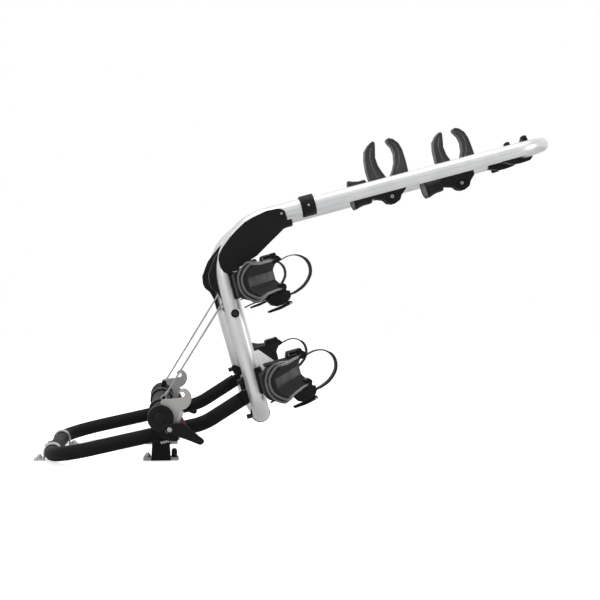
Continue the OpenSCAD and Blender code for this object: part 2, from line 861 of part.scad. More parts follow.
module collars() {
    color(black)
        tilting()
            both_sides()
                translate([elbow_reach - collar_w / 2, -leg_half, leg_length])
                    rotate([0, 90, 0])
                        difference() {
                            cylinder(h = collar_w, r = platform_r + collar_t);
                            translate([0, 0, -overrun])
                                cylinder(h = collar_w / 2 + overrun, r = platform_r + shaft_gap);
                            translate([0, 0, -overrun])
                                cylinder(h = collar_w + 2 * overrun, r = hoop_r + fit_gap);
                        }
}

module lock_bar() {
    color(black)
        tilting()
            translate([0, lock_bar_out, lock_length]) rotate([90, 0, 0])
                cylinder(h = 2 * lock_bar_out, d = lock_bar_d);
}

module lock_caps() {
    color(black)
        tilting()
            both_sides()
                difference() {
                    cross_bar(0, lock_length, leg_half + platform_r - collar_t, leg_half + platform_r + lock_cap_t,
                        lock_cap_d / 2);
                    cross_bar(0, lock_length, leg_half, leg_half + 2 * platform_r, lock_bar_d / 2 + shaft_gap);
                    translate([0, -leg_half, 0]) cylinder(h = leg_length, r = platform_r + fit_gap);
                }
}

// Outer elbow cover from the elbow corner, as shares of the elbow's radius
cover_shares = [
    [-0.018, -0.75], [0.009, -0.79], [0.08, -0.799], [0.241, -0.763], [0.652, -0.652], [1.232, -0.304],
    [1.312, -0.295], [1.357, -0.223], [1.348, -0.071], [1.33, 0.009], [1.179, 0.08], [1, 0.112],
    [0.804, 0.089], [0.554, 0.018], [0.339, -0.116], [0.161, -0.304], [0.045, -0.5], [-0.018, -0.679]
];

module elbow_cover(side) {
    color(black)
        tilting()
            on_side(side)
                translate([0, 0, leg_length])
                    difference() {
                        side_plate(cover_y, leg_half + platform_r + cover_t) polygon([for (p = cover_shares) p * elbow_r]);
                        translate([0, 0, -leg_length]) leg_and_elbow(platform_r + fit_gap);
                    }
}

inner_shares = [
    [0.393, -0.134], [0.036, -0.375], [-0.107, -0.545], [-0.241, -0.741], [-0.259, -0.893],
    [-0.241, -1], [-0.179, -1.098], [-0.161, -1.25], [-0.152, -1.536], [-0.107, -1.536],
    [-0.098, -1.161], [0, -1], [0.045, -0.893], [0.054, -0.777], [0.179, -0.768], [0.321, -0.536],
    [0.554, -0.304]
];

module inner_covers() {
    color(black)
        tilting()
            both_sides()
                translate([0, 0, leg_length])
                    difference() {
                        side_plate(leg_half - platform_r - inner_cover_t, leg_half - platform_r / 3)
                            polygon([for (p = inner_shares) p * elbow_r]);
                        translate([0, 0, -leg_length]) leg_and_elbow(platform_r + fit_gap);
                    }
}

module frame_screws() {
    color(black)
        tilting()
            both_sides() {
                // Elbow cover screws
                cross_bar(cover_screw_share * elbow_r, leg_length - cover_screw_d / 3, leg_half + platform_r + cover_t,
                    leg_half + platform_r + cover_t + screw_head_h, cover_screw_d / 2);
                // Collar bolts
                cross_bar(elbow_reach, leg_length, leg_half + platform_r + collar_t,
                    leg_half + platform_r + collar_t + screw_head_h, collar_screw_d / 2);
                // Cable bolts
                cross_bar(0, cable_top, cable_top_y - cable_d, leg_half - platform_r - shaft_gap,
                    cable_bolt_d / 2);
                // Hinge casting bolts
                for (at = [[casting_lug_x, casting_lug_z], [casting_ring_r, -heel_length - casting_ring_t / 2]])
                    translate([-at.x - casting_bolt_h, -(casting_in_y + casting_out_y) / 2, at.y])
                        rotate([0, 90, 0]) cylinder(h = casting_bolt_h, d = casting_bolt_d);
            }
}

module hinge_castings() {
    color(dark)
        tilting()
            both_sides()
                difference() {
                    union() {
                        cross_bar(0, -heel_length, casting_in_y, casting_out_y, casting_ring_r);
                        side_plate(casting_in_y, casting_out_y)
                            polygon([
                                [-casting_strip, -heel_length], [-casting_strip, casting_root],
                                [-casting_lug_x, casting_lug_z / 2], [-casting_lug_x, casting_top],
                                [-casting_strip, casting_top], [casting_strip, casting_lug_z / 2],
                                [hinge_eye_r, -casting_strip], [casting_strip, -heel_length]
                            ]);
                    }
                    cross_bar(0, -heel_length, casting_in_y - overrun, casting_out_y + overrun,
                        platform_r + shaft_gap);
                    cross_bar(0, 0, casting_in_y - overrun, casting_out_y + overrun,
                        hinge_pin_d / 2 + shaft_gap);
                }
}

module hinge_pins() {
    color(zinc)
        tilting()
            both_sides()
                cross_bar(0, 0, casting_in_y, leg_half + platform_r - tube_wall / 2, hinge_pin_d / 2);
}

// Rails and their clamps

module rail(centre) {
    color(silver)
        tilting()
            translate([rail_floor, rail_end, centre])
                rotate([90, 0, 0])
                    linear_extrude(height = rail_length)
                        difference() {
                            translate([0, -rail_w / 2]) square([rail_depth, rail_w]);
                            translate([rail_wall, -rail_w / 2 + rail_wall])
                                square([rail_depth, rail_w - 2 * rail_wall]);
                            for (side = [-1, 1], i = [1:3])
                                translate([rail_depth * i / 4, side * rail_w / 2])
                                    circle(r = rail_wall / 3);
                        }
}

module rail_clamps() {
    color(dark)
        tilting()
            both_sides()
                for (centre = rail_centres)
                    difference() {
                        translate([rail_floor - clamp_depth, -leg_half - platform_r - clamp_cheek, centre - rail_w / 2])
                            cube([clamp_depth, platform_tube_d + 2 * clamp_cheek, rail_w]);
                        leg_and_elbow(platform_r + fit_gap);
                        cross_bar(0, lock_length, leg_half, leg_half + 2 * platform_r,
                            lock_cap_d / 2 + fit_gap);
                    }
}

// Wheel holders, drawn with their nose at the outer end on the near side

module holder_place(side, centre) {
    tilting()
        on_side(side)
            translate([0, 0, centre])
                children();
}

// The holder's outline seen across the rail: distance from the nose, height over the leg's axis
module holder_outline() {
    top = nose_floor + nose_lip;
    rise = holder_length * tan(holder_rise);
    polygon([
        [0, nose_floor - nose_wall], [0, top], [holder_length, top + rise], [holder_length, skirt_base],
        [holder_nose - rail_end, skirt_base], [holder_nose - rail_end - fit_gap, holder_base],
        [nose_lip, holder_base]
    ]);
}

module holder(side, centre) {
    slope_length = 2 * holder_length;
    color(black)
        holder_place(side, centre)
            difference() {
                union() {
                    multmatrix([[0, 1, 0, 0], [1, 0, 0, -holder_nose], [0, 0, 1, -holder_w / 2], [0, 0, 0, 1]])
                        linear_extrude(height = holder_w) holder_outline();
                    translate([anchor_x, -holder_nose + holder_length - anchor_depth, holder_w / 2 - 2 * strap_t])
                        cube([anchor_top - anchor_x, anchor_depth, anchor_side - holder_w / 2 + 2 * strap_t]);
                    side_plate(holder_nose - holder_length, holder_nose - holder_length + anchor_depth)
                        polygon([
                            [anchor_x, -rail_w / 2], [buckle_x, buckle_side], [buckle_hinge_x, buckle_side],
                            [anchor_top + buckle_nose, -buckle_root], [anchor_top, -rail_w / 2]
                        ]);
                }
                // The wheel's trough
                translate([nose_floor, -holder_nose, 0])
                    rotate([0, 0, -holder_rise])
                        translate([0, slope_length - holder_length, 0])
                            rotate([90, 0, 0])
                                linear_extrude(height = slope_length)
                                    polygon([
                                        [0, -holder_floor_w / 2],
                                        [trough_flare, -holder_floor_w / 2 - trough_side],
                                        [4 * trough_flare, -holder_floor_w / 2 - trough_side],
                                        [4 * trough_flare, holder_floor_w / 2 + trough_side],
                                        [trough_flare, holder_floor_w / 2 + trough_side],
                                        [0, holder_floor_w / 2]
                                    ]);
                // The nose's bevelled lower corners
                translate([0, -holder_nose + nose_corner_length, 0]) rotate([90, 0, 0])
                    linear_extrude(height = nose_corner_length + overrun)
                        for (side = [-1, 1])
                            polygon([
                                [holder_base - overrun, side * (holder_w / 2 - nose_corner - overrun)],
                                [holder_base + nose_corner + overrun, side * (holder_w / 2 + overrun)],
                                [holder_base - overrun, side * (holder_w / 2 + overrun)]
                            ]);
                // The rail's seat
                translate([0, -rail_end - fit_gap, -rail_w / 2 - fit_gap])
                    cube([rail_top + fit_gap, rail_end, rail_w + 2 * fit_gap]);
                // The strap's slots
                strap_ring(fit_gap);
                // The window in the anchor box's outer face
                translate([anchor_x + window_wall, -holder_nose + holder_length - anchor_depth - overrun,
                    holder_w / 2 + window_wall / 2])
                    cube([window_length, window_depth + overrun, anchor_side - holder_w / 2 - window_wall]);
                // Room for the buckle lever's pin
                cross_bar(buckle_hinge_x, buckle_hinge_z, 0, holder_nose, buckle_pin_r + fit_gap);
            }
}

// The strap's loop, thicker by the gap g on every side
module strap_ring(g) {
    y = -holder_nose + holder_length - strap_inset;
    translate([strap_centre_x, y + strap_w / 2 + g, strap_centre_z])
        rotate([90, 0, 0])
            rotate([0, 0, -strap_swing])
                rotate_extrude(angle = 2 * strap_swing)
                    translate([strap_loop_r - g, 0])
                        square([strap_t + 2 * g, strap_w + 2 * g]);
}

module strap(side, centre) {
    color(dark)
        holder_place(side, centre)
            strap_ring(0);
}

module buckle(side, centre) {
    y0 = holder_nose - holder_length + strap_t;
    y1 = y0 + strap_w + strap_t;
    color(black)
        holder_place(side, centre)
            union() {
                cross_bar(buckle_hinge_x, buckle_hinge_z, y0, y1, buckle_pin_r);
                translate([buckle_hinge_x, 0, buckle_hinge_z])
                    side_plate(y0, y1)
                        polygon([for (p = buckle_shares) p * buckle_length]);
            }
}

// Bike arms, drawn from the hoop's tip crossbar toward the elbow

module arm_place(y, droop) {
    tilting()
        translate([hoop_reach, y, leg_length])
            rotate([0, -droop, 0])
                children();
}

module arm_clamp(y, droop) {
    color(black)
        arm_place(y, droop)
            difference() {
                union() {
                    cross_bar(0, 0, -arm_clamp_w / 2, arm_clamp_w / 2, arm_clamp_r - arm_waist);
                    side_plate(-arm_clamp_w / 2, arm_clamp_w / 2)
                        polygon(concat(
                            [[-arm_socket_length, -arm_socket_r]],
                            [for (p = arm_clamp_shares) p * arm_clamp_r],
                            [[-arm_socket_length, arm_socket_r]]
                        ));
                }
                cross_bar(0, 0, -arm_clamp_w, arm_clamp_w, hoop_r + fit_gap);
                translate([-arm_start, 0, 0]) rotate([0, -90, 0])
                    cylinder(h = arm_socket_length, d = arm_tube_d + 2 * shaft_gap);
            }
}

module arm_tube(y, droop, length) {
    color(silver)
        arm_place(y, droop)
            translate([-arm_start, 0, 0]) rotate([0, -90, 0])
                difference() {
                    cylinder(h = length - arm_start - bridge_w - bridge_w, d = arm_tube_d);
                    translate([0, 0, -overrun])
                        cylinder(h = length, d = arm_tube_d - 2 * tube_wall);
                }
}

// The claw's own axes: origin at its pivot
module claw_place(y, droop, length) {
    arm_place(y, droop) translate([-length, 0, -claw_pivot_drop]) children();
}

module claw_plate(w, outline) {
    side_plate(-w / 2, w / 2) polygon([for (p = outline) p * claw_h]);
}

// The sunk panel on each side of a finger
module finger_panels(outline) {
    for (side = [-1, 1])
        translate([0, side * (claw_w - panel_depth) / 2, 0])
            claw_plate(panel_depth + fit_gap, outline);
}

module claw(y, droop, length) {
    color(black)
        claw_place(y, droop, length)
            difference() {
                union() {
                    cross_bar(0, 0, -claw_w / 2, claw_w / 2, claw_boss_r);
                    side_plate(-claw_w / 2, claw_w / 2)
                        polygon([
                            [-cheek_left, cheek_low], [-cheek_left, cheek_high], [cheek_right, cheek_high],
                            [cheek_right, cheek_low], [cheek_low, -cheek_low], [-cheek_low, -cheek_low]
                        ]);
                    claw_plate(claw_w, thumb_shares);
                }
                // The slot that the moving finger's tongue turns in
                translate([-cheek_left + bridge_w, -tongue_w / 2 - tongue_gap, -2 * claw_boss_r])
                    cube([cheek_left - bridge_w + cheek_low + overrun, tongue_w + 2 * tongue_gap,
                        2 * claw_boss_r + claw_h]);
                cross_bar(0, 0, -claw_w, claw_w, claw_pin_d / 2 + shaft_gap);
                finger_panels(thumb_panel_shares);
                translate([-2 * bridge_w, 0, claw_pivot_drop]) rotate([0, -90, 0])
                    cylinder(h = cheek_left, d = knob_rod_d + 2 * shaft_gap);
                translate([bridge_w + bridge_w, 0, claw_pivot_drop]) rotate([0, 90, 0])
                    cylinder(h = cheek_left, d = arm_tube_d + 2 * shaft_gap);
            }
}

module finger(y, droop, length) {
    color(black)
        claw_place(y, droop, length)
            union() {
                claw_plate(tongue_w, tongue_shares);
                difference() {
                    claw_plate(claw_w, finger_shares);
                    finger_panels(finger_panel_shares);
                }
                cross_bar(0, 0, -claw_w / 2 - overrun, claw_w / 2 + overrun, claw_pin_d / 2);
            }
}

module knob(y, droop, length) {
    lobe_r = knob_r * knob_lobe_share;
    color(black)
        claw_place(y, droop, length)
            translate([-cheek_left - knob_gap, 0, claw_pivot_drop])
                rotate([0, -90, 0]) {
                    cylinder(h = knob_length, r = knob_r * knob_core_share);
                    for (a = knob_lobe_turns)
                        rotate([0, 0, a])
                            translate([knob_r - lobe_r, 0, knob_step])
                                cylinder(h = knob_length - 2 * knob_step, r = lobe_r);
                    translate([0, 0, rod_reach - cheek_left - knob_gap])
                        cylinder(h = cheek_left + knob_gap - rod_reach + overrun, d = knob_rod_d);
                }
}

module corner_clip() {
    ring = hoop_r + clip_t;
    corner = hoop_path[3];
    inward = unit(unit(hoop_path[2] - corner) + unit(hoop_path[4] - corner));
    half_turn = turn_angle(hoop_path[2], corner, hoop_path[4]) / 2;
    color(black)
        tilting()
            difference() {
                translate(corner + inward * hoop_tip_r * (1 / cos(half_turn) - 1))
                    rotate([0, 0, atan2(inward.y, inward.x)]) {
                        cross_bar(0, 0, -clip_w / 2, clip_w / 2, ring);
                        translate([-clip_lug / 2, -clip_w / 2, -ring - clip_lug / 2])
                            cube([clip_lug, clip_w, 2 * ring + clip_lug]);
                    }
                bent_bar([[hoop_reach, 0, leg_length], hoop_path[3], hoop_path[4]], [hoop_tip_r],
                    hoop_r + fit_gap);
            }
}

base_tube();
saddles();
saddle_liners();
base_nuts();
cross_tube();
bracket("near");  // bracket_near
bracket("far");  // bracket_far
end_caps();
clamp_plates();
feet();
foot_caps();
hinge_plugs();
rest_pads();
latch_screws();
cable("near");  // cable_near
cable("far");  // cable_far
hook("near");  // hook_near
lever("near");  // lever_near
flag("near");  // flag_near
hook("far");  // hook_far
lever("far");  // lever_far
flag("far");  // flag_far
platform_tube();
hoop_tube();
collars();
lock_bar();
lock_caps();
elbow_cover("near");  // elbow_cover_near
elbow_cover("far");  // elbow_cover_far
inner_covers();
frame_screws();
hinge_castings();
hinge_pins();
rail(rail_centres[1]);  // rail_upper
rail(rail_centres[0]);  // rail_lower
rail_clamps();
corner_clip();
holder("near", rail_centres[1]);  // holder_upper_near
strap("near", rail_centres[1]);  // strap_upper_near
buckle("near", rail_centres[1]);  // buckle_upper_near
holder("far", rail_centres[1]);  // holder_upper_far
strap("far", rail_centres[1]);  // strap_upper_far
buckle("far", rail_centres[1]);  // buckle_upper_far
holder("near", rail_centres[0]);  // holder_lower_near
strap("near", rail_centres[0]);  // strap_lower_near
buckle("near", rail_centres[0]);  // buckle_lower_near
holder("far", rail_centres[0]);  // holder_lower_far
strap("far", rail_centres[0]);  // strap_lower_far
buckle("far", rail_centres[0]);  // buckle_lower_far
arm_clamp(arm_long_y, 0);  // arm_clamp_1
arm_tube(arm_long_y, 0, arm_long);  // arm_1
claw(arm_long_y, 0, arm_long);  // claw_1
finger(arm_long_y, 0, arm_long);  // finger_1
knob(arm_long_y, 0, arm_long);  // knob_1
arm_clamp(arm_short_y, arm_short_droop);  // arm_clamp_2
arm_tube(arm_short_y, arm_short_droop, arm_short);  // arm_2
claw(arm_short_y, arm_short_droop, arm_short);  // claw_2
finger(arm_short_y, arm_short_droop, arm_short);  // finger_2
knob(arm_short_y, arm_short_droop, arm_short);  // knob_2
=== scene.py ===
# Drawbar bike rack for two bikes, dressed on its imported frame.
# Lengths are in millimetres until a piece is finished.
import math

import bmesh
import bpy
from mathutils import Matrix, Vector


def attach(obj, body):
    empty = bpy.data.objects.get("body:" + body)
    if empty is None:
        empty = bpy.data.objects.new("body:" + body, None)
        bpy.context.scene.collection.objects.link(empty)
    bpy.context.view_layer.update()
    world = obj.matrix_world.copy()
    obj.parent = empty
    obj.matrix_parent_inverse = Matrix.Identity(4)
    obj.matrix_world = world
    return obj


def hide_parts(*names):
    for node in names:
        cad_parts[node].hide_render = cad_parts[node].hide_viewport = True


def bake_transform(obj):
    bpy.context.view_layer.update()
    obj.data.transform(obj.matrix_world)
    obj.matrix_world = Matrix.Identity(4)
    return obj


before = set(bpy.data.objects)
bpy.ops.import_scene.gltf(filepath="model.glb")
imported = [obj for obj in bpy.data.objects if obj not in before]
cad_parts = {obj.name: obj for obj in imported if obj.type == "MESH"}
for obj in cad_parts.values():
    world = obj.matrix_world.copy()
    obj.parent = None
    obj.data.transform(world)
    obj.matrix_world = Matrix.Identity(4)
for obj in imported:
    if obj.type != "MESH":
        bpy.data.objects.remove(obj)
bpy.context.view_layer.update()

# Main sizes, the same as the part's except TIP_CORNER_R, which is nearer to the photograph here
HINGE, LEAN = Vector((192.3, 0, 150)), 15.2
BASE_HALF, BASE_R, BASE_FRONT, BASE_LOW = 223, 15, -226, 17
KNEE, KNEE_R, CORNER_R = Vector((88, 0, 84)), 120, 90
CROSS_Z, CROSS_R = 103, 21.5
FOOT_Y = 138
LEG_HALF, LEG_R, LEG_TOP, HEEL = 251, 17.5, 337, -50
ELBOW_R, HEEL_R = 112, 52
HOOP_START, HOOP_NECK, HOOP_R, HOOP_TIP, HOOP_TIP_HALF = 186, 220, 15, 738, 205
NECK_R, TIP_CORNER_R = 80, 80
COLLAR_X = 200
RAILS = {"lower": 21, "upper": 219}
RAIL_FLOOR, RAIL_DEPTH, RAIL_W, RAIL_WALL, RAIL_END = 21, 34, 54, 2.5, 330

LEVEL = Matrix.Identity(4)
# The tilting frame's own axes: X along the hoop, Z up the legs
OPEN = Matrix.Translation(HINGE) @ Matrix.Rotation(-math.radians(LEAN), 4, "Y")
ACROSS = Matrix.Diagonal((1, -1, 1, 1))
SIDES = (("near", False), ("far", True))
ORIGIN, UP, NEARWARD = (0, 0, 0), (0, 0, 1), (0, -1, 0)
TO_METRES = 0.001
# Vertices closer than this are one vertex
WELD = 0.01


def linear(hex_colour):
    """An sRGB hex colour as the linear RGBA that Blender's shaders take."""
    parts = [int(hex_colour[i : i + 2], 16) / 255 for i in (1, 3, 5)]
    return [c / 12.92 if c <= 0.04045 else ((c + 0.055) / 1.055) ** 2.4 for c in parts] + [1]


def node(tree, kind, inputs=None, **settings):
    """Adds a node, sets its properties, and gives each named input a value or a link."""
    made = tree.nodes.new(kind)
    for name, value in settings.items():
        setattr(made, name, value)
    for name, value in (inputs or {}).items():
        if isinstance(value, bpy.types.NodeSocket):
            tree.links.new(value, made.inputs[name])
        else:
            made.inputs[name].default_value = value
    return made


def new_finish(name, colour, **sockets):
    """A material with one Principled shader, its tree and that shader."""
    finish = bpy.data.materials.new(name)
    finish.use_nodes = True
    finish.diffuse_color = linear(colour)
    tree = finish.node_tree
    shader = tree.nodes["Principled BSDF"]
    shader.inputs["Base Color"].default_value = linear(colour)
    for socket, value in sockets.items():
        shader.inputs[socket.replace("_", " ")].default_value = value
    return finish, tree, shader


def grained(name, colour, size, depth, roughness, colours, **sockets):
    """A material with grain of that size and depth, a spread of roughness, and a slight shift of colour."""
    finish, tree, shader = new_finish(name, colour, **sockets)
    coords = node(tree, "ShaderNodeTexCoord").outputs["Object"]
    fine = node(
        tree, "ShaderNodeTexNoise", {"Vector": coords, "Scale": 1000 / size, "Detail": 3, "Roughness": 0.55},
    )
    broad = node(tree, "ShaderNodeTexNoise", {"Vector": coords, "Scale": 22, "Detail": 4})
    bump = node(
        tree, "ShaderNodeBump",
        {"Height": fine.outputs["Fac"], "Strength": 0.6, "Distance": depth * TO_METRES},
    )
    tree.links.new(bump.outputs[0], shader.inputs["Normal"])
    spread = node(
        tree, "ShaderNodeMapRange",
        {"Value": broad.outputs["Fac"], "From Min": 0.3, "From Max": 0.7, "To Min": roughness[0],
         "To Max": roughness[1]},
    )
    tree.links.new(spread.outputs[0], shader.inputs["Roughness"])
    ramp = node(tree, "ShaderNodeValToRGB", {"Fac": broad.outputs["Fac"]})
    for stop, position, shade in zip(ramp.color_ramp.elements, (0.35, 0.65), colours):
        stop.position = position
        stop.color = linear(shade)
    tree.links.new(ramp.outputs[0], shader.inputs["Base Color"])
    return finish


# Satin powder coat on steel: a soft black with fine orange peel, so highlights are broad and a little broken
powder_coat = grained(
    "satin black powder coat", "#0e0e10", 1.6, 0.05, (0.56, 0.66), ("#0c0c0e", "#111113"),
    IOR=1.45, Specular_IOR_Level=0.15,
)
# Painted aluminium casting: coarser sand grain under the paint
painted_casting = grained(
    "painted casting", "#111113", 2.2, 0.16, (0.46, 0.6), ("#0d0d0f", "#161618"),
    IOR=1.45, Specular_IOR_Level=0.15,
)
# Glass-filled nylon from a spark-eroded mould: fine even pitting that takes the shine off.
# The pitting is drawn at 1 mm, about three times its real size, so that it shows
nylon = grained(
    "moulded black nylon", "#111113", 1.0, 0.06, (0.34, 0.48), ("#0e0e10", "#141416"),
    IOR=1.48, Specular_IOR_Level=0.16,
)
# The wheel holders' nylon is coarser, so that their troughs stay dark when seen along them
coarse_nylon = grained(
    "coarse black nylon", "#1c1c1e", 1.0, 0.08, (0.68, 0.8), ("#18181a", "#202022"),
    IOR=1.48, Specular_IOR_Level=0.14,
)
# The same nylon where the mould is polished, glossier: rims and edges that catch a sharp light. Its grey,
# much lighter than the other nylon, is a painted highlight on them
painted_highlight_nylon = grained(
    "black nylon with painted highlight", "#3e3e40", 6.0, 0.02, (0.14, 0.22), ("#38383a", "#444446"),
    IOR=1.53, Specular_IOR_Level=0.8,
)
# The bike arms' nylon is a shade greyer
grey_nylon = grained(
    "moulded dark grey nylon", "#363638", 1.0, 0.05, (0.36, 0.48), ("#303032", "#3c3c3e"),
    IOR=1.48, Specular_IOR_Level=0.3,
)
# Satin anodised aluminium tube: pale, with a soft wide sheen
anodised = grained(
    "satin anodised aluminium", "#d2d3d4", 2.5, 0.012, (0.3, 0.38), ("#cecfd0", "#d6d7d8"), Metallic=0.74,
)
# Zinc-plated pressed steel: blue-grey with a faint spangle
zinc = grained(
    "zinc plated steel", "#b4b5b3", 3.0, 0.03, (0.3, 0.48), ("#a3a4a3", "#c2c3c1"), Metallic=0.85,
)
# Vibrated zinc casting of the hook plates: flat grey, hardly any sheen
hook_metal = grained(
    "satin zinc casting", "#a6a6a4", 1.4, 0.05, (0.46, 0.58), ("#9e9e9c", "#aeaeab"), Metallic=0.3,
)
# Moulded rubber: matte, near black
rubber = grained(
    "matte black rubber", "#131314", 0.9, 0.05, (0.62, 0.78), ("#111112", "#191a1a"),
    IOR=1.5, Specular_IOR_Level=0.15,
)
# Ribbed strap of soft polyamide: a little shine on the ribs
strap_nylon = grained(
    "strap polyamide", "#18181a", 0.9, 0.03, (0.4, 0.52), ("#161618", "#202022"),
    IOR=1.5, Specular_IOR_Level=0.2,
)
# Galvanised stranded cable
cable_steel = grained(
    "galvanised cable", "#a6a7a6", 1.2, 0.03, (0.34, 0.48), ("#969796", "#b2b3b2"), Metallic=0.6,
)
# Dark red polypropylene marker
red_marker = grained(
    "dark red polypropylene", "#6d1f33", 1.2, 0.03, (0.35, 0.45), ("#661c2f", "#742238"), IOR=1.49,
)
# Black oxide screws: dark steel with a dull oily sheen
black_oxide = grained(
    "black oxide steel", "#1d1d20", 1.0, 0.02, (0.34, 0.46), ("#19191b", "#232326"), Metallic=0.5,
)


def piece(name, stands_for, material, body, bm, place=LEVEL, far=False, bevel=0, segments=2, sharp=38):
    """Makes an object of a mesh in millimetres: placed, welded, facing outward and riding on its body."""
    bmesh.ops.transform(bm, matrix=(ACROSS if far else LEVEL) @ place, verts=bm.verts)
    bmesh.ops.scale(bm, vec=(TO_METRES,) * 3, verts=bm.verts)
    bmesh.ops.remove_doubles(bm, verts=bm.verts, dist=WELD * TO_METRES)
    bmesh.ops.recalc_face_normals(bm, faces=bm.faces)
    bmesh.ops.triangulate(
        bm, faces=[f for f in bm.faces if len(f.verts) > 4], quad_method="BEAUTY", ngon_method="EAR_CLIP",
    )
    mesh = bpy.data.meshes.new(name)
    bm.to_mesh(mesh)
    bm.free()
    mesh.materials.append(material)
    mesh.shade_smooth()
    mesh.set_sharp_from_angle(angle=math.radians(sharp))
    made = bpy.data.objects.new(name, mesh)
    bpy.context.collection.objects.link(made)
    if bevel:
        edge = made.modifiers.new("edges", "BEVEL")
        edge.width = bevel * TO_METRES
        edge.segments = segments
        edge.limit_method = "ANGLE"
        edge.angle_limit = math.radians(sharp)
        edge.use_clamp_overlap = True
        # Wide faces keep their own direction, so that a narrow bevel beside them can't bend their shading
        facing = made.modifiers.new("flat faces", "WEIGHTED_NORMAL")
        facing.keep_sharp = True
    if body:
        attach(made, body)
    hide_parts(stands_for)
    return made


def lofted(rings, caps=True):
    """A skin over rings of as many points each, with a lid on both ends."""
    bm = bmesh.new()
    rings = [[bm.verts.new(p) for p in ring] for ring in rings]
    n = len(rings[0])
    for a, b in zip(rings, rings[1:]):
        for k in range(n):
            bm.faces.new((a[k], a[(k + 1) % n], b[(k + 1) % n], b[k]))
    if caps:
        bm.faces.new(rings[0])
        bm.faces.new(list(reversed(rings[-1])))
    return bm


def joined(*meshes):
    """Several meshes in one."""
    whole = bmesh.new()
    for bm in meshes:
        mesh = bpy.data.meshes.new("part")
        bm.to_mesh(mesh)
        bm.free()
        whole.from_mesh(mesh)
        bpy.data.meshes.remove(mesh)
    return whole


def moved(bm, matrix):
    """The same mesh, turned and moved by a matrix."""
    bmesh.ops.transform(bm, matrix=matrix, verts=bm.verts)
    return bm


def shift(x, y, z):
    """The matrix of a move by x, y and z."""
    return Matrix.Translation((x, y, z))


def rounded_path(corners, radii, steps=24):
    """Points along a path whose inner corners are arcs, and the path's ends as they are."""
    points = [Vector(corners[0])]
    for i, r in enumerate(radii, 1):
        a, b, c = (Vector(corners[j]) for j in (i - 1, i, i + 1))
        into, out = (b - a).normalized(), (c - b).normalized()
        turn = into.angle(out)
        start = b - into * r * math.tan(turn / 2)
        centre = b + ((a - b).normalized() + (c - b).normalized()).normalized() * (r / math.cos(turn / 2))
        axis = into.cross(out).normalized()
        for k in range(steps + 1):
            points.append(centre + Matrix.Rotation(turn * k / steps, 3, axis) @ (start - centre))
    points.append(Vector(corners[-1]))
    return points


def along(path, section, twist=0.0, first_side=None, caps=True):
    """Carries a closed section of (across, up) points along a path without letting it roll."""
    n = len(path)
    tangents = [(path[min(i + 1, n - 1)] - path[max(i - 1, 0)]).normalized() for i in range(n)]
    side = Vector(first_side or ((0, 1, 0) if abs(tangents[0].y) < 0.9 else (0, 0, 1)))
    rings, run = [], 0.0
    for i, t in enumerate(tangents):
        if i:
            run += (path[i] - path[i - 1]).length
            side = tangents[i - 1].rotation_difference(t) @ side
        side = (side - t * side.dot(t)).normalized()
        up = t.cross(side)
        c, s = math.cos(twist * run), math.sin(twist * run)
        rings.append([path[i] + side * (u * c - v * s) + up * (u * s + v * c) for u, v in section])
    return lofted(rings, caps)


def around(count, last=0):
    """Angles round a circle, one for each of count steps, and last more."""
    return [2 * math.pi * k / count for k in range(count + last)]


def round_section(r, count=32, flat=None):
    """A circle's points, or an ellipse's with the half height flat."""
    return [(r * math.cos(a), (flat or r) * math.sin(a)) for a in around(count)]


def turned(profile, centre, axis, count=48):
    """A profile of (radius, height) points turned about an axis; points at radius 0 close it."""
    axis = Vector(axis).normalized()
    side = axis.orthogonal().normalized()
    other = axis.cross(side)
    return lofted([
        [Vector(centre) + axis * h + (side * math.cos(a) + other * math.sin(a)) * r for a in around(count)]
        for r, h in profile
    ], caps=False)


def between(p0, p1, p2, p3, steps):
    """Points from p1 on toward p2, on a smooth curve that also heeds their neighbours."""
    for k in range(steps):
        t = k / steps
        yield 0.5 * ((2 * p1) + (p2 - p0) * t + (2 * p0 - 5 * p1 + 4 * p2 - p3) * t * t
                     + (3 * p1 - p0 - 3 * p2 + p3) * t ** 3)


def soft_outline(points, steps=4):
    """A smooth closed outline through points."""
    n = len(points)
    return [
        (p.x, p.y) for i in range(n)
        for p in between(*(Vector(points[(i + k) % n]) for k in (-1, 0, 1, 2)), steps)
    ]


def smooth_path(points, steps=4):
    """A smooth open path through points."""
    points = [Vector(p) for p in points]
    last = len(points) - 1
    out = []
    for i in range(last):
        out += between(*(points[min(max(i + k, 0), last)] for k in (-1, 0, 1, 2)), steps)
    return out + [points[-1]]


def rounded_outline(points, r, steps=4):
    """A closed outline with its corners rounded by r, or by a radius for each corner."""
    n, out = len(points), []
    for i in range(n):
        a, b, c = (Vector(points[(i + k) % n]) for k in (-1, 0, 1))
        ra = r[i] if isinstance(r, (list, tuple)) else r
        into, leave = (b - a).normalized(), (c - b).normalized()
        # A corner takes no more than about half of either side
        back = min(ra * math.tan(into.angle(leave) / 2), (b - a).length * 0.48, (c - b).length * 0.48)
        if back < 1e-3:
            out.append((b.x, b.y))
            continue
        s, e = b - into * back, b + leave * back
        for k in range(steps + 1):
            t = k / steps
            q = s * (1 - t) ** 2 + b * (2 * t * (1 - t)) + e * t * t
            out.append((q.x, q.y))
    return out


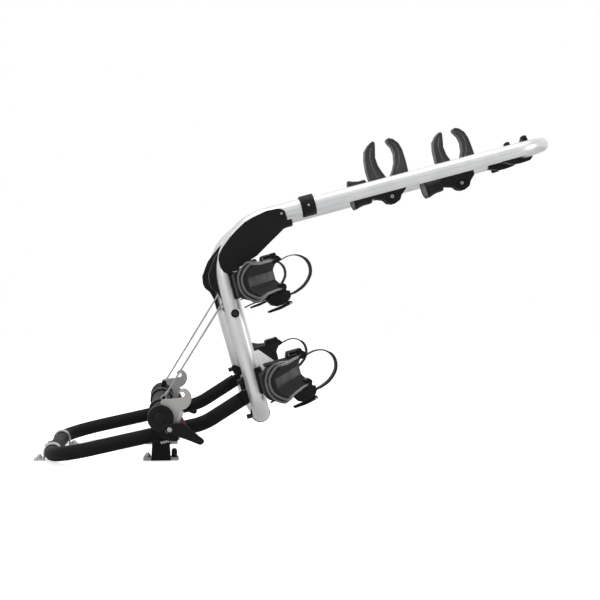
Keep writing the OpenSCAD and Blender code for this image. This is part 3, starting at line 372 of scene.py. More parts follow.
def inset(outline, width):
    """The outline moved inward by width, with as many points."""
    turn = sum(a[0] * b[1] - b[0] * a[1] for a, b in zip(outline, outline[1:] + outline[:1]))
    inward, n = (1 if turn > 0 else -1), len(outline)
    found = []
    for k in range(n):
        a, b, c = (Vector(outline[(k + j) % n]) for j in (-1, 0, 1))
        before, after = (b - a).normalized(), (c - b).normalized()
        first = Vector((-before.y, before.x)) * inward
        middle = (first + Vector((-after.y, after.x)) * inward).normalized()
        found.append(b + middle * (width / max(middle.dot(first), 0.7)))

    def clearance(p):
        closest = []
        for a, b in zip(outline, outline[1:] + outline[:1]):
            a, edge = Vector(a), Vector(b) - Vector(a)
            share = min(1, max(0, (p - a).dot(edge) / max(edge.length_squared, 1e-9)))
            closest.append((p - a - edge * share).length)
        return min(closest)

    # Where a corner is tighter than the width, its points gather in the nearest one that has the width
    kept = [k for k in range(n) if clearance(found[k]) > 0.97 * width - WELD] or list(range(n))
    line = []
    for k in range(n):
        p = found[min(kept, key=lambda j: min(abs(j - k), n - abs(j - k)))]
        line.append(line[-1] if line and (p - line[-1]).length < 0.25 * width else p)
    return [(p.x, p.y) for p in line]


def upright(outline, y):
    """An outline in XZ at y off the centre plane, on the near side."""
    return [(x, -y, z) for x, z in outline]


def stepped(outline, levels):
    """Rings of one outline, each inset and at a distance off the centre plane, closed at both ends."""
    return lofted([upright(inset(outline, width), y) for width, y in levels])


def framed(outer, inner, y0, y1):
    """A plate with a window: both outlines have as many points."""
    rounds = ((outer, y0), (outer, y1), (inner, y1), (inner, y0), (outer, y0))
    return lofted([upright(line, y) for line, y in rounds], caps=False)


def plate(outline, y0, y1):
    """An outline in XZ made a plate on the near side, from y0 to y1 off the centre plane."""
    return lofted([upright(outline, y0), upright(outline, y1)])


def domed(r, height, edge, steps=4):
    """A turned profile of a flat-topped button with a rounded edge."""
    turns = [math.pi / 2 * k / steps for k in range(1, steps + 1)]
    return [(0, 0), (r, 0), (r, height - edge)] + [
        (r - edge + edge * math.cos(a), height - edge + edge * math.sin(a)) for a in turns
    ] + [(0, height)]


def hex_nut(d, h):
    """A hex nut with chamfered corners, standing on z = 0."""
    levels = ((0, 0.94), (h * 0.12, 1), (h * 0.84, 1), (h, 0.9))
    return lofted([[(x, y, z) for x, y in round_section(d / 2 * share, 6)] for z, share in levels])


def socket_screw(at, axis, r, h, socket):
    """A flat screw head with a rounded edge and a hexagon socket, on a stub of its shank."""
    head = turned(
        [(0, -2), (r, -2), (r, h * 0.7), (r * 0.93, h), (socket * 1.25, h), (socket * 1.1, h - 0.3)],
        at, axis, 36,
    )
    hexagon = turned([(socket * 1.1, h - 0.3), (socket, h - h * 0.6), (0, h - h * 0.6)], at, axis, 6)
    return joined(head, hexagon)


def repeated(name, stands_for, material, body, template, points, place, far, turns=None):
    """Geometry Nodes put the template at every point; the result becomes one plain mesh."""
    seed = bpy.data.meshes.new(name + "_template")
    template.to_mesh(seed)
    template.free()
    shape = bpy.data.objects.new(name + "_template", seed)
    spots = bpy.data.meshes.new(name + "_spots")
    spots.from_pydata([tuple(p) for p in points], [], [])
    turn = spots.attributes.new("turn", "FLOAT_VECTOR", "POINT")
    for i, r in enumerate(turns or [(0, 0, 0)] * len(points)):
        turn.data[i].vector = r
    host = bpy.data.objects.new(name + "_spots", spots)
    bpy.context.collection.objects.link(host)
    tree = bpy.data.node_groups.new(name + " layout", "GeometryNodeTree")
    inputs = (("Spots", "Geometry"), ("Shape", "Object"), ("Size", "Float"), ("Finish", "Material"))
    sockets = {
        label: tree.interface.new_socket(label, in_out="INPUT", socket_type="NodeSocket" + kind).identifier
        for label, kind in inputs
    }
    tree.interface.new_socket("Geometry", in_out="OUTPUT", socket_type="NodeSocketGeometry")
    source = node(tree, "NodeGroupInput")
    info = node(tree, "GeometryNodeObjectInfo", {"Object": source.outputs["Shape"]})
    facing = node(tree, "GeometryNodeInputNamedAttribute", {"Name": "turn"}, data_type="FLOAT_VECTOR")
    to_turn = node(tree, "FunctionNodeEulerToRotation", {"Euler": facing.outputs["Attribute"]})
    placed = node(
        tree, "GeometryNodeInstanceOnPoints",
        {"Points": source.outputs["Spots"], "Instance": info.outputs["Geometry"],
         "Rotation": to_turn.outputs[0], "Scale": source.outputs["Size"]},
    )
    real = node(tree, "GeometryNodeRealizeInstances", {"Geometry": placed.outputs[0]})
    coated = node(
        tree, "GeometryNodeSetMaterial", {"Geometry": real.outputs[0], "Material": source.outputs["Finish"]},
    )
    node(tree, "NodeGroupOutput", {"Geometry": coated.outputs[0]})
    layout = host.modifiers.new("layout", "NODES")
    layout.node_group = tree
    for label, value in (("Shape", shape), ("Size", 1.0), ("Finish", material)):
        layout[sockets[label]] = value
    spread = bpy.data.meshes.new_from_object(host.evaluated_get(bpy.context.evaluated_depsgraph_get()))
    bm = bmesh.new()
    bm.from_mesh(spread)
    for old in (host, shape):
        bpy.data.objects.remove(old)
    return piece(name, stands_for, material, body, bm, place, far)


def coat(node_name, material):
    """A CAD node keeps its shape and takes a finish."""
    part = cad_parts[node_name]
    part.data.materials.clear()
    part.data.materials.append(material)


def ring_along_y(centre, bore, shoulder, rim, half, flat, count=48):
    """A ring about an axis along Y, with both edges chamfered from the rim's flat part to the shoulder."""
    profile = [(bore, half), (shoulder, half), (rim, flat)]
    return turned([(r, -h) for r, h in profile] + profile[::-1], centre, (0, 1, 0), count)


def both_halves(half):
    """A path's near half, and then its mirror image on the far side."""
    return half + [(x, -y, z) for x, y, z in reversed(half)]


# The base frame

base_end = HINGE - 36 * (HINGE - KNEE).normalized()
base_line = ((base_end.x, base_end.z), (KNEE.x, KNEE.z), (BASE_FRONT, BASE_LOW))
base_half = [(x, -BASE_HALF, z) for x, z in base_line]
base_path = rounded_path(both_halves(base_half), (KNEE_R, CORNER_R, CORNER_R, KNEE_R), 20)
piece("base_tube_bent", "base_tube", powder_coat, "base", along(base_path, round_section(BASE_R, 40)))

# Cross tube with an eyelet band near each end for the stay cables
CROSS_HALF, BAND_Y = 268.5, 197
tube = along([Vector((0, y, CROSS_Z)) for y in (-CROSS_HALF, CROSS_HALF)], round_section(CROSS_R, 48))
for y in (-BAND_Y, BAND_Y):
    band = ring_along_y((0, y, CROSS_Z), 21.2, 22.6, 23, 6, 5.4)
    lug = rounded_outline([(-5.4, 108), (0.4, 136), (2, 141), (10, 141), (11.6, 136), (7, 108)], 4)
    tube = joined(tube, band, plate(lug, y - 1.5, y + 1.5))
piece("cross_tube_banded", "cross_tube", powder_coat, "base", tube, bevel=0.6)


def omega(z, r, wall, foot, height):
    """Outline of a saddle: a band over the tube with an ear on each side."""
    root = r + wall
    ear = [(foot, 0), (foot, height), (root + 4, height), (root + 1.2, height + 0.8), (root, height + 3.4)]
    arc = [(math.cos(math.radians(a)), math.sin(math.radians(a))) for a in range(180, -1, -9)]
    outer = [(-x, y) for x, y in ear] + [(root * c, z + root * s) for c, s in arc] + ear[::-1]
    return outer + [(r, 0)] + [(r * c, z + r * s) for c, s in reversed(arc)] + [(-r, 0)]


# A span is where a plate begins and ends off the centre plane
SADDLE_BORE, SADDLE_WALL, EAR_X, EAR_TOP, EAR_BOLT = 16.1, 2.5, 38, 4.1, 27
SADDLE_Y, SADDLE_SPAN = 118, (106, 130)
FOOT_PLATE_TOP, FOOT_HALF = 5.6, 22.6
CHEEK_SPAN, BRACKET_SPAN, BRACKET_END, END_FACE = (207, 241), (239, 280.4), 280.6, 300.3
# Where a stay cable ends: over the cross tube's band, and on the leg in the tilting frame's axes
CABLE_TOP = 207
CABLE_LOW, CABLE_HIGH = (6, -202.3, 135), (0, -223.5, CABLE_TOP)
CABLE_R, STRAND_BULGE, STRANDS, LAY, EYE_R, EYE_WIRE = 1.62, 0.36, 6, 34, 4.6, 1.5
# The end cap's radii and their depths behind its face
END_CAP = (
    (0, 11), (24.6, 11), (25.6, 10.3), (26, 8.8), (26, 2.2), (25.3, 0.6), (23.8, 0), (15.2, 0), (14.6, 0.4),
    (14.3, 1.6), (13.3, 1.6), (13, 0.4), (12.4, 0), (0, 0),
)
# Each bolt's place, the height of its nut with the washer, and that of its end
BOLTS = (
    (BASE_FRONT - EAR_BOLT, SADDLE_Y, EAR_TOP, 5, 8), (BASE_FRONT + EAR_BOLT, SADDLE_Y, EAR_TOP, 5, 8),
    (-28, FOOT_Y, FOOT_PLATE_TOP, 6, 9),
)
cross_middle = (0, 0, CROSS_Z)
for side, far in SIDES:
    saddle_outline = omega(BASE_LOW, SADDLE_BORE, SADDLE_WALL, EAR_X, EAR_TOP)
    saddle = moved(plate(saddle_outline, *SADDLE_SPAN), shift(BASE_FRONT, 0, 0))
    piece("saddle_" + side, "saddles", zinc, "base", saddle, far=far, bevel=0.7)

    # Nuts with washers and bolt ends: steel on the saddles and the feet
    bolts = bmesh.new()
    for x, y, z, tall, stud in BOLTS:
        nut = joined(
            turned(domed(8.2, 1.1, 0.4), ORIGIN, UP),
            moved(hex_nut(13, tall - 1), shift(0, 0, 1) @ Matrix.Rotation(0.3 * x, 4, "Z")),
            turned([(0, 0), (4, 0), (4, stud - 1), (3.2, stud), (0, stud)], ORIGIN, UP, 24),
        )
        bolts = joined(bolts, moved(nut, shift(x, -y, z)))
    piece("base_nuts_" + side, "base_nuts", zinc, "base", bolts, far=far, bevel=0.4)

    cap = turned(
        [(0, -1.4), (7.2, -1.4), (7.2, 0.2), (5.9, 0.8), (5.9, 10.5), (5.5, 13), (4.4, 15.2), (2.6, 16.6),
         (0, 17)],
        (28, -FOOT_Y, 6.6), UP, 32,
    )
    piece("foot_cap_" + side, "foot_caps", nylon, "base", cap, far=far)

    # Feet: a ring about the cross tube on a waisted block, and the foot plate with rolled corners
    leg = rounded_outline(
        [(-20.5, 0.4), (-18.5, 30), (-18, 60), (-21, 92), (21, 92), (18, 60), (18.5, 30), (20.5, 0.4)],
        [1, 60, 60, 8, 8, 60, 60, 1], 6,
    )
    ring = ring_along_y((0, -FOOT_Y, CROSS_Z), 21.7, 24.4, 25.5, 22, 20.8)
    foot = joined(plate(leg, FOOT_Y - FOOT_HALF, FOOT_Y + FOOT_HALF), ring)
    piece("foot_" + side, "feet", painted_casting, "base", foot, far=far, bevel=1.6, segments=3)
    sole = rounded_outline([(-37, 0.3), (-37, FOOT_PLATE_TOP), (37, FOOT_PLATE_TOP), (37, 0.3)], 1.4, 3)
    sole = plate(sole, FOOT_Y - 17, FOOT_Y + 19)
    piece("foot_plate_" + side, "feet", hook_metal, "base", sole, far=far, bevel=0.5)

    # Bracket casting: a lobed body over the base leg, and a round barrel over the cross tube's end
    lobes = soft_outline(
        [(-19, 103), (-14, 88), (-11, 78), (-6, 68), (2, 61.5), (9, 57.5), (21, 55.2), (33, 55.6), (36, 63),
         (31, 77), (24, 92), (21, 108), (0, 119), (-14, 115)],
        5,
    )
    cheek = rounded_outline(
        [(-17, 103), (-11, 80), (-6, 68), (2, 60), (8, 57), (30, 60), (33, 70), (30, 77), (21, 103)], 6,
    )
    barrel = turned(
        [(21.7, 206), (22.8, 206), (23.3, 206.8), (23.3, 238), (25, 243), (25.9, 250), (26, 277.5),
         (25.3, 279.7), (23, BRACKET_END), (21.7, BRACKET_END)],
        cross_middle, NEARWARD, 56,
    )
    ribs = [turned([(24, -1.2), (26.6, -0.5), (26.6, 0.5), (24, 1.2)], (0, -y, CROSS_Z), (0, 1, 0), 56)
            for y in (255, 269)]
    casting = joined(plate(lobes, *BRACKET_SPAN), plate(cheek, *CHEEK_SPAN), barrel, *ribs)
    bracket = "bracket_" + side
    piece(bracket + "_casting", bracket, painted_casting, "base", casting, far=far, bevel=2.2, segments=3)

    # Round end cap with a ring groove
    cap = turned([(r, END_FACE - depth) for r, depth in END_CAP], cross_middle, NEARWARD, 64)
    stem = turned([(0, 280.7), (6, 280.7), (6, 290), (0, 290)], cross_middle, NEARWARD, 24)
    piece("end_cap_" + side, "end_caps", nylon, "base", joined(cap, stem), far=far)

    # Stay cable: six strands laid round each other, with a swaged sleeve and an eye at each end
    low, high = Vector(CABLE_LOW), OPEN @ Vector(CABLE_HIGH)
    run = (high - low).normalized()
    strand_radii = [(a, CABLE_R + STRAND_BULGE * math.cos(STRANDS * a)) for a in around(36)]
    strands = [(math.cos(a) * r, math.sin(a) * r) for a, r in strand_radii]
    start, stop, count = low + run * 5, high - run * 5, 120
    wire = along([start.lerp(stop, k / count) for k in range(count + 1)], strands, twist=2 * math.pi / LAY)
    for end, away in ((low, 1), (high, -1)):
        sleeve = turned(
            [(1.9, 0), (2.4, 0.3), (2.7, 0.9), (2.7, 4), (2.4, 4.7), (2.7, 5.4), (2.7, 9.6), (2.4, 10.4),
             (1.9, 10.6)],
            end + run * away * 5.5, run * away, 24,
        )
        eye = [end + Vector((math.cos(a) * EYE_R, 0, math.sin(a) * EYE_R)) for a in around(28, 1)]
        wire = joined(wire, sleeve, along(eye, round_section(EYE_WIRE, 12), caps=False))
    # A stay hangs between the base and the tilting frame, so it rides on neither
    stay = piece("stay_cable_" + side, "cable_" + side, cable_steel, None, wire, far=far)
    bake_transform(stay)


# Hook plates with their release levers

SLOT_X, SLOT_Z, SLOT_R = 42.45, 148.28, 5.4
HOOK_SPAN, FOLD_SPAN, FLAG_SPAN = (281, 289), (288.6, 290.6), (290.8, 300.4)
slot_angles = [math.radians(-105 + 255 * k / 24) for k in range(25)]
slot_arc = [(SLOT_X + SLOT_R * math.cos(a), SLOT_Z + SLOT_R * math.sin(a)) for a in slot_angles]
hook_lower = [
    (38, 156.6), (42, 159.6), (47, 160.9), (53, 158.6), (58, 153), (61, 147), (61.5, 140), (59, 131),
    (55, 125), (50, 121), (43, 117.5), (41, 110), (40, 92), (34, 78), (24, 71), (12, 72), (8, 80), (11, 90),
    (13, 100), (13, 112), (7, 124), (-1, 132), (2, 137), (8, 139.4), (23, 139.8),
]
hook_outline = rounded_outline(hook_lower, 2.4, 3) + [(34, 140.6)] + slot_arc + [(35.3, 152.2)]
hook_fold = rounded_outline([(38.6, 117), (46.6, 114.6), (38.4, 92), (30.4, 93)], 1.2, 3)
lever_line = [
    (10, 83), (13, 89), (18, 92.5), (38, 94.6), (47, 91.6), (62, 79.6), (75, 68.2), (83.6, 61.6),
    (85.6, 57), (82, 52.2), (76, 51.2), (62, 57), (45, 63.6), (36, 66.6), (27, 70.4), (19, 73), (12, 76),
]
flag_line = [(34, 84), (36.5, 92), (39.5, 100), (43, 104.5), (46, 99), (49, 93), (51, 89), (44, 81)]
# The lever's outer face is sunk inside a raised border
GRIP_LEVELS = ((0, 300.8), (0, 309.6), (0.9, 310.4), (3.2, 310.4), (4.2, 309.5))
latch_pivot = (17.9, 0, 81.5)
for side, far in SIDES:
    hook, body = "hook_" + side, "latch_" + side
    plate_bm = plate(hook_outline, *HOOK_SPAN)
    piece("hook_plate_" + side, hook, hook_metal, body, plate_bm, LEVEL, far, 0.9, 3, 50)
    # The folded flange on the hook's neck is real; its lighter zinc finish paints the highlight on its bright
    # side
    piece("hook_flange_" + side, hook, zinc, body, plate(hook_fold, *FOLD_SPAN), LEVEL, far, 0.5)
    grip = stepped(soft_outline(lever_line, 3), GRIP_LEVELS)
    hub = turned(
        [(0, 289), (8, 289), (8, 310.4), (7.4, 311), (5.6, 311), (5.2, 310.6), (0, 310.6)],
        latch_pivot, NEARWARD, 32,
    )
    piece("release_lever_" + side, "lever_" + side, nylon, body, joined(grip, hub), LEVEL, far, sharp=30)
    screw = turned(
        [(0, 268.8), (2.9, 268.8), (2.9, 310.8), (4.9, 310.8), (5, 311.2), (4.6, 313), (3.6, 313.6),
         (2.6, 313.7), (2.4, 312), (0, 312)],
        latch_pivot, NEARWARD, 32,
    )
    piece("latch_screw_" + side, "latch_screws", zinc, "base", screw, LEVEL, far)
    flag = plate(soft_outline(flag_line, 3), *FLAG_SPAN)
    piece("red_marker_" + side, "flag_" + side, red_marker, body, flag, LEVEL, far, 0.8)


# The tilting frame


def on_frame(name, stands_for, material, bm, far=False, **edges):
    """A piece of the tilting frame, in that frame's own axes."""
    piece(name, stands_for, material, "tilt_frame", bm, OPEN, far, **edges)


platform_half = [(COLLAR_X, -LEG_HALF, LEG_TOP), (0, -LEG_HALF, LEG_TOP), (0, -LEG_HALF, HEEL)]
platform_path = rounded_path(both_halves(platform_half), (ELBOW_R, HEEL_R, HEEL_R, ELBOW_R))
on_frame("platform_tube_bent", "platform_tube", anodised, along(platform_path, round_section(LEG_R, 48)))
hoop_line = ((HOOP_START, LEG_HALF), (HOOP_NECK, LEG_HALF), (HOOP_TIP, HOOP_TIP_HALF))
hoop_half = [(x, -half, LEG_TOP) for x, half in hoop_line]
hoop_path = rounded_path(both_halves(hoop_half), (NECK_R, TIP_CORNER_R, TIP_CORNER_R, NECK_R))
on_frame("hoop_tube_bent", "hoop_tube", anodised, along(hoop_path, round_section(HOOP_R, 44)))

HINGE_Y, COVER_SCREW_X, COVER_SCREW_Z, LOCK_BAR_Z = 189.5, 142, LEG_TOP - 3, 164.9
SHIELD_SPAN, INNER_SPAN, RAIL_CLAMP_SPAN = (263, 273.3), (227, 246), (230.2, 271.8)
# The two covers of an elbow, with heights above the hoop's axis
shield_line = [
    (-4.6, -74), (-1, -86), (8, -92), (27, -87), (73, -71.5), (110, -50), (128, -40), (139, -33.4),
    (146, -33), (150, -26), (151, -9), (150, 1), (144, 7), (136, 9.4), (113, 10.4), (87, 5.5), (67, 0),
    (49, -9.5), (30, -21.5), (10, -38), (0, -49), (-4, -58),
]
inner_line = [
    (44, -15), (24, -27), (4, -42), (-8, -52), (-15, -61), (-30, -83), (-33, -100), (-31, -112),
    (-22, -124), (-18, -140), (-17, -172), (-12, -172), (-11, -130), (0, -112), (5, -100), (6, -87),
    (20, -86), (36, -60), (62, -34),
]
for side, far in SIDES:
    # Reducing collar between the platform tube and the hoop, with its grub bolt
    collar = turned(
        [(15.2, 14.6), (20, 14.6), (21.2, 14), (21.8, 12.8), (21.8, -12.6), (21.3, -13.8), (20.4, -14.4),
         (17.7, -14.6), (15.2, -14.6)],
        (COLLAR_X, -LEG_HALF, LEG_TOP), (1, 0, 0),
    )
    boss = turned(
        [(0, 268), (6.4, 268), (6.4, 271.6), (5.8, 272.2), (0, 272.2)],
        (COLLAR_X, 0, LEG_TOP), NEARWARD, 32,
    )
    on_frame("collar_" + side, "collars", nylon, joined(collar, boss), far)

    # Screws with a hexagon socket: at the elbow cover, the collar, the cable, and two at the hinge casting
    screws = joined(
        socket_screw((COVER_SCREW_X, -273.5, COVER_SCREW_Z), NEARWARD, 4.5, 2.5, 1.9),
        socket_screw((COLLAR_X, -272, LEG_TOP), NEARWARD, 4.4, 2.5, 2),
        socket_screw((0, -233, CABLE_TOP), (0, 1, 0), 3, 12.5, 1.5),
        socket_screw((-20, -HINGE_Y, 24), (-1, 0, 0), 5, 9.6, 2.6),
        socket_screw((-19.8, -HINGE_Y, -51.2), (-1, 0, 0), 5, 9.6, 2.6),
    )
    on_frame("frame_screws_" + side, "frame_screws", black_oxide, screws, far)
    # A light zinc dome in the two outer screws' sockets: a painted highlight dot on the dark screw heads
    glint_studs = joined(*(
        turned([(0, 0), (2.3, 0), (2.3, 0.5), (1.7, 1.3), (0.8, 1.7), (0, 1.8)], at, NEARWARD, 24)
        for at in ((COVER_SCREW_X, -275, COVER_SCREW_Z), (COLLAR_X, -273.4, LEG_TOP))
    ))
    on_frame("polished_studs_" + side, "frame_screws", zinc, glint_studs, far)

    # Elbow covers: a smooth shield with a rolled edge outside the bend, and a plainer one inside
    shield = moved(plate(rounded_outline(shield_line, 7, 3), *SHIELD_SPAN), shift(0, 0, LEG_TOP))
    outer = "elbow_cover_" + side
    on_frame(outer + "_shield", outer, nylon, shield, far, bevel=2.6, segments=4, sharp=45)
    inner = moved(plate(rounded_outline(inner_line, 4, 3), *INNER_SPAN), shift(0, 0, LEG_TOP))
    on_frame("inner_cover_" + side, "inner_covers", nylon, inner, far, bevel=2.2, segments=3, sharp=45)

    # Hinge casting: a lumpy arm between the heel of the platform tube and the pin
    arm = rounded_outline(
        [(-12, -62), (-13, -12), (-12, 10), (-20, 13), (-20, 31), (-12, 32), (12, 12), (15, -8), (12, -50),
         (12, -62)],
        [8, 12, 4, 3, 3, 8, 10, 10, 12, 8], 4,
    )
    ring = ring_along_y((0, -HINGE_Y, HEEL), 17.8, 19.2, 19.8, 7.4, 6.8)
    casting = joined(plate(arm, HINGE_Y - 7, HINGE_Y + 7), ring)
    on_frame("hinge_casting_" + side, "hinge_castings", painted_casting, casting, far, bevel=2.4, segments=3)
    pin = turned(
        [(0, 181.6), (6.4, 181.6), (7, 182.4), (7, 184), (5.9, 184.6), (5.9, 266.5), (0, 266.5)],
        ORIGIN, NEARWARD, 32,
    )
    on_frame("hinge_pin_" + side, "hinge_pins", zinc, pin, far)

    # Lock bar's cap: a disc with a dished face and a centre hole
    cap = turned(
        [(5.2, 266), (8.4, 266), (8.5, 267), (8.5, 273.4), (8, 274.6), (6.6, 275.3), (3.4, 274.2),
         (2.6, 273.4), (2.4, 271), (0, 271)],
        (0, 0, LOCK_BAR_Z), NEARWARD, 40,
    )
    on_frame("lock_cap_" + side, "lock_caps", nylon, cap, far)

for node_name, material in (
    ("lock_bar", black_oxide), ("hinge_plugs", powder_coat), ("rest_pads", rubber), ("saddle_liners", rubber),
):
    coat(node_name, material)

# Wheel rails: a channel with rolled lips and three grooves on each flank
flank = [(0, 0)]
for x in (RAIL_DEPTH * k / 4 for k in (1, 2, 3)):
    flank += [(x - 1.1, 0), (x - 0.5, 0.7), (x + 0.5, 0.7), (x + 1.1, 0)]
# Then the lip, back to the channel's floor
flank += [
    (RAIL_DEPTH - 0.6, 0), (RAIL_DEPTH, 0.6), (RAIL_DEPTH, RAIL_WALL + 0.8),
    (RAIL_DEPTH - 0.7, RAIL_WALL + 1.4), (RAIL_DEPTH - 2.4, RAIL_WALL), (RAIL_WALL + 1, RAIL_WALL),
    (RAIL_WALL, RAIL_WALL + 1),
]
section = [(x, dip - RAIL_W / 2) for x, dip in flank]
section += [(x, -z) for x, z in reversed(section)]
for name, centre in RAILS.items():
    rail = lofted([[(RAIL_FLOOR + x, y, centre + z) for x, z in section] for y in (-RAIL_END, RAIL_END)])
    on_frame("wheel_rail_" + name, "rail_" + name, anodised, rail, sharp=30)

# Rail clamps: die-cast saddles between the legs and the rails
saddle_line = rounded_outline([(7.4, 27), (20.6, 27), (20.6, -27), (7.4, -27)], 3)
for side, far in SIDES:
    clamps = joined(*(
        moved(plate(saddle_line, *RAIL_CLAMP_SPAN), shift(0, 0, centre)) for centre in RAILS.values()
    ))
    on_frame("rail_clamps_" + side, "rail_clamps", painted_casting, clamps, far, bevel=2, segments=3)

# Wheel holders: the nose is at the outer end, and the trough's floor climbs toward the rack's middle

NOSE_Y, HOLDER_LENGTH, CLIMB = 440, 180, math.tan(math.radians(20.7))
HOLDER_HALF, RAIL_TOP, LIP_RISE = 31, RAIL_FLOOR + RAIL_DEPTH, 18.4
NOSE_T, CHIN, CHIN_T, RAIL_T = 2.4, 8, 84, NOSE_Y - RAIL_END
ANCHOR_Y = NOSE_Y - HOLDER_LENGTH
ANCHOR_FACE = ANCHOR_Y + 34
# Distances from the nose of the cross-sections that the holder is lofted through
HOLDER_STATIONS = (
    NOSE_T, 3.4, 5, 8, 12, 18, 30, 48, 66, 84, 97, RAIL_T - 0.3, RAIL_T + 0.3,
    125, 145, 165, 179, HOLDER_LENGTH,
)


def lip_at(t):
    """Height of the trough's lips, t from the nose."""
    return 29 + t * CLIMB + LIP_RISE


def flange_at(t):
    """Half width of the flange outside the lips: widest behind the nose."""
    return HOLDER_HALF + 5.5 * (1 - min(1, max(0, t - 16) / 50))


def holder_rib(t):
    """Half of the holder's cross-section, t from the nose: (height over the leg, distance off its middle)."""
    lip, wide = lip_at(t), flange_at(t)
    floor = lip - LIP_RISE - 4.6 * (1 - min(1, t / 8)) ** 2
    upper = [
        (floor, 0), (floor, 9.4), (floor + 0.5, 10.8), (floor + 3.4, 15.6), (floor + 8, 20.8),
        (floor + 13, 25), (lip - 1.2, 28), (lip, 29.4), (lip, 30.4), (lip - 2, wide - 2.6),
        (lip - 5, wide - 0.7), (lip - 8, wide),
    ]
    if t > RAIL_T:
        # Two skirts reach down over the rail's flanks
        return upper + [(40, wide), (31, wide), (28, wide - 0.8), (27, wide - 2), (27, 27.6),
                        (RAIL_TOP + 0.6, 27.6), (RAIL_TOP + 0.6, 0)]
    base = CHIN + 12 * max(0, t - CHIN_T) / (RAIL_T - CHIN_T)
    return upper + [(base + 18, wide - 4), (base + 9, wide - 8.5), (base + 2, 23), (base, 19.5), (base, 14),
                    (base, 7), (base, 0)]


def holder_shell():
    """The moulded holder, lofted through its cross-sections from the nose to the inner end."""
    rings = []
    for t in HOLDER_STATIONS:
        half = holder_rib(t)
        if t == NOSE_T:
            half = [(x + (0.9 if x < 20 else 0), z - (0.9 if z > 24 else 0)) for x, z in half]
        rings.append([(x, t - NOSE_Y, z) for x, z in half + [(x, -z) for x, z in reversed(half[1:-1])]])
    return lofted(rings)


def nose_band(front, sides):
    """Path of a moulded band: along one lip, down round the nose's front, and back along the other lip."""
    half = [(x, t - NOSE_Y, z) for x, z, t in sides + front]
    return smooth_path(half + [(x, y, -z) for x, y, z in reversed(half[:-1])])


# Each band's (height, distance off the middle, distance from the nose): round the front, and along the lip
lip_run = [(lip_at(t) + 0.5, 30, t) for t in (172, 140, 110, 80, 56, 34)]
inner_band = nose_band(
    [(46.2, 33, 3.6), (42.6, 32.8, 2.6), (36.8, 29.2, 2.4), (30.4, 24, 2.3), (25, 18, 2.3),
     (21.4, 11.4, 2.3), (19.8, 4.6, 2.3), (19.5, 0, 2.3)],
    lip_run + [(lip_at(16) + 0.3, 31.4, 16), (49.8, 32.6, 8)],
)
outer_band = nose_band(
    [(42.4, 36.8, 4), (38.4, 37.2, 2.9), (32.4, 34.6, 2.5), (26, 30, 2.4), (20.4, 24.2, 2.4),
     (16, 16.8, 2.4), (13.6, 8.4, 2.4), (13.2, 0, 2.4)],
    [(lip_at(66) - 5, 31, 66), (lip_at(48) - 4, 32.6, 48), (lip_at(30) - 3.4, 34.8, 30), (46.6, 36.6, 12)],
)

# Strap seen from the front: out of the anchor, round the wheel and down into the buckle block
strap_line = [
    (110, 23.4), (117, 26.3), (132.5, 29.4), (146.8, 28), (158.7, 21.4), (166.8, 10.8), (169.6, -1.4),
    (166.8, -15.2), (158.7, -26.6), (146, -36.7), (130.6, -43), (118, -45.9), (108, -46.4),
]
strap_middle = smooth_path([(x, 0, z) for x, z in strap_line], 6)
STRAP_Y, STRAP_Y0, STRAP_Y1, TOOTH_PITCH = 275, 264, 286, 2.4
# Shares of the strap's length between which it has teeth
TEETH_START, TEETH_END = 0.36, 0.9


def strap_thickness(share):
    """Thin where it leaves the anchor, full along the teeth, and thin again at the buckle."""
    return 1.9 + 2.5 * min(1, max(0, (share - 0.22) / 0.2)) - 2.0 * max(0, (share - 0.8) / 0.2)


def strap_band():
    """The strap, and for each of its teeth the place and the turn."""
    rings, spots, turns = [], [], []
    run, total = 0, sum((b - a).length for a, b in zip(strap_middle, strap_middle[1:]))
    next_tooth = TEETH_START * total
    for i, at in enumerate(strap_middle):
        ahead = (strap_middle[min(i + 1, len(strap_middle) - 1)] - strap_middle[max(i - 1, 0)]).normalized()
        out = Vector((-ahead.z, 0, ahead.x))
        if i:
            run += (at - strap_middle[i - 1]).length
        half = strap_thickness(run / total) / 2
        rings.append([at + out * u - Vector((0, y, 0)) for u, y in (
            (-half, STRAP_Y0), (-half, STRAP_Y1), (half - 0.5, STRAP_Y1), (half, STRAP_Y1 - 0.6),
            (half, STRAP_Y0 + 0.6), (half - 0.5, STRAP_Y0),
        )])
        while run > next_tooth and next_tooth < TEETH_END * total:
            back = at - ahead * (run - next_tooth)
            spots.append(back + out * (half - 0.1) - Vector((0, STRAP_Y, 0)))
            turns.append((0, math.atan2(out.x, out.z), 0))
            next_tooth += TOOTH_PITCH
    return lofted(rings), spots, turns


# Strap anchor: a box with a framed window, the ratchet's block at its inner end, and a claw for the strap
anchor_box = rounded_outline(
    [(72, 27), (77, 43), (99, 43), (108, 40), (113, 28), (108, 22), (96, 24)], [2, 6, 3, 3, 2, 2, 2], 4,
)
window_rim = rounded_outline([(72.5, 31), (77, 43.2), (99, 43.2), (99, 31)], [1.5, 5, 1.5, 1.5], 5)
window_hole = rounded_outline([(79.4, 34), (79.4, 40.6), (97, 40.6), (97, 34)], 1.2, 5)
ratchet_line = rounded_outline(
    [(98.6, 43.8), (107.2, 43.2), (108.8, 36), (113, 28), (109, 21.6), (101, 22.4)], [2, 2, 3, 3, 2, 2], 3,
)
anchor_claw = rounded_outline([(103, 40), (112.5, 35), (117.5, 27), (113, 24.5), (105, 30)], 1.6, 3)
bead_line = [(79.2, 34.2), (79.6, 40.8), (97, 40.8), (97.2, 34.2), (79.2, 34.2)]
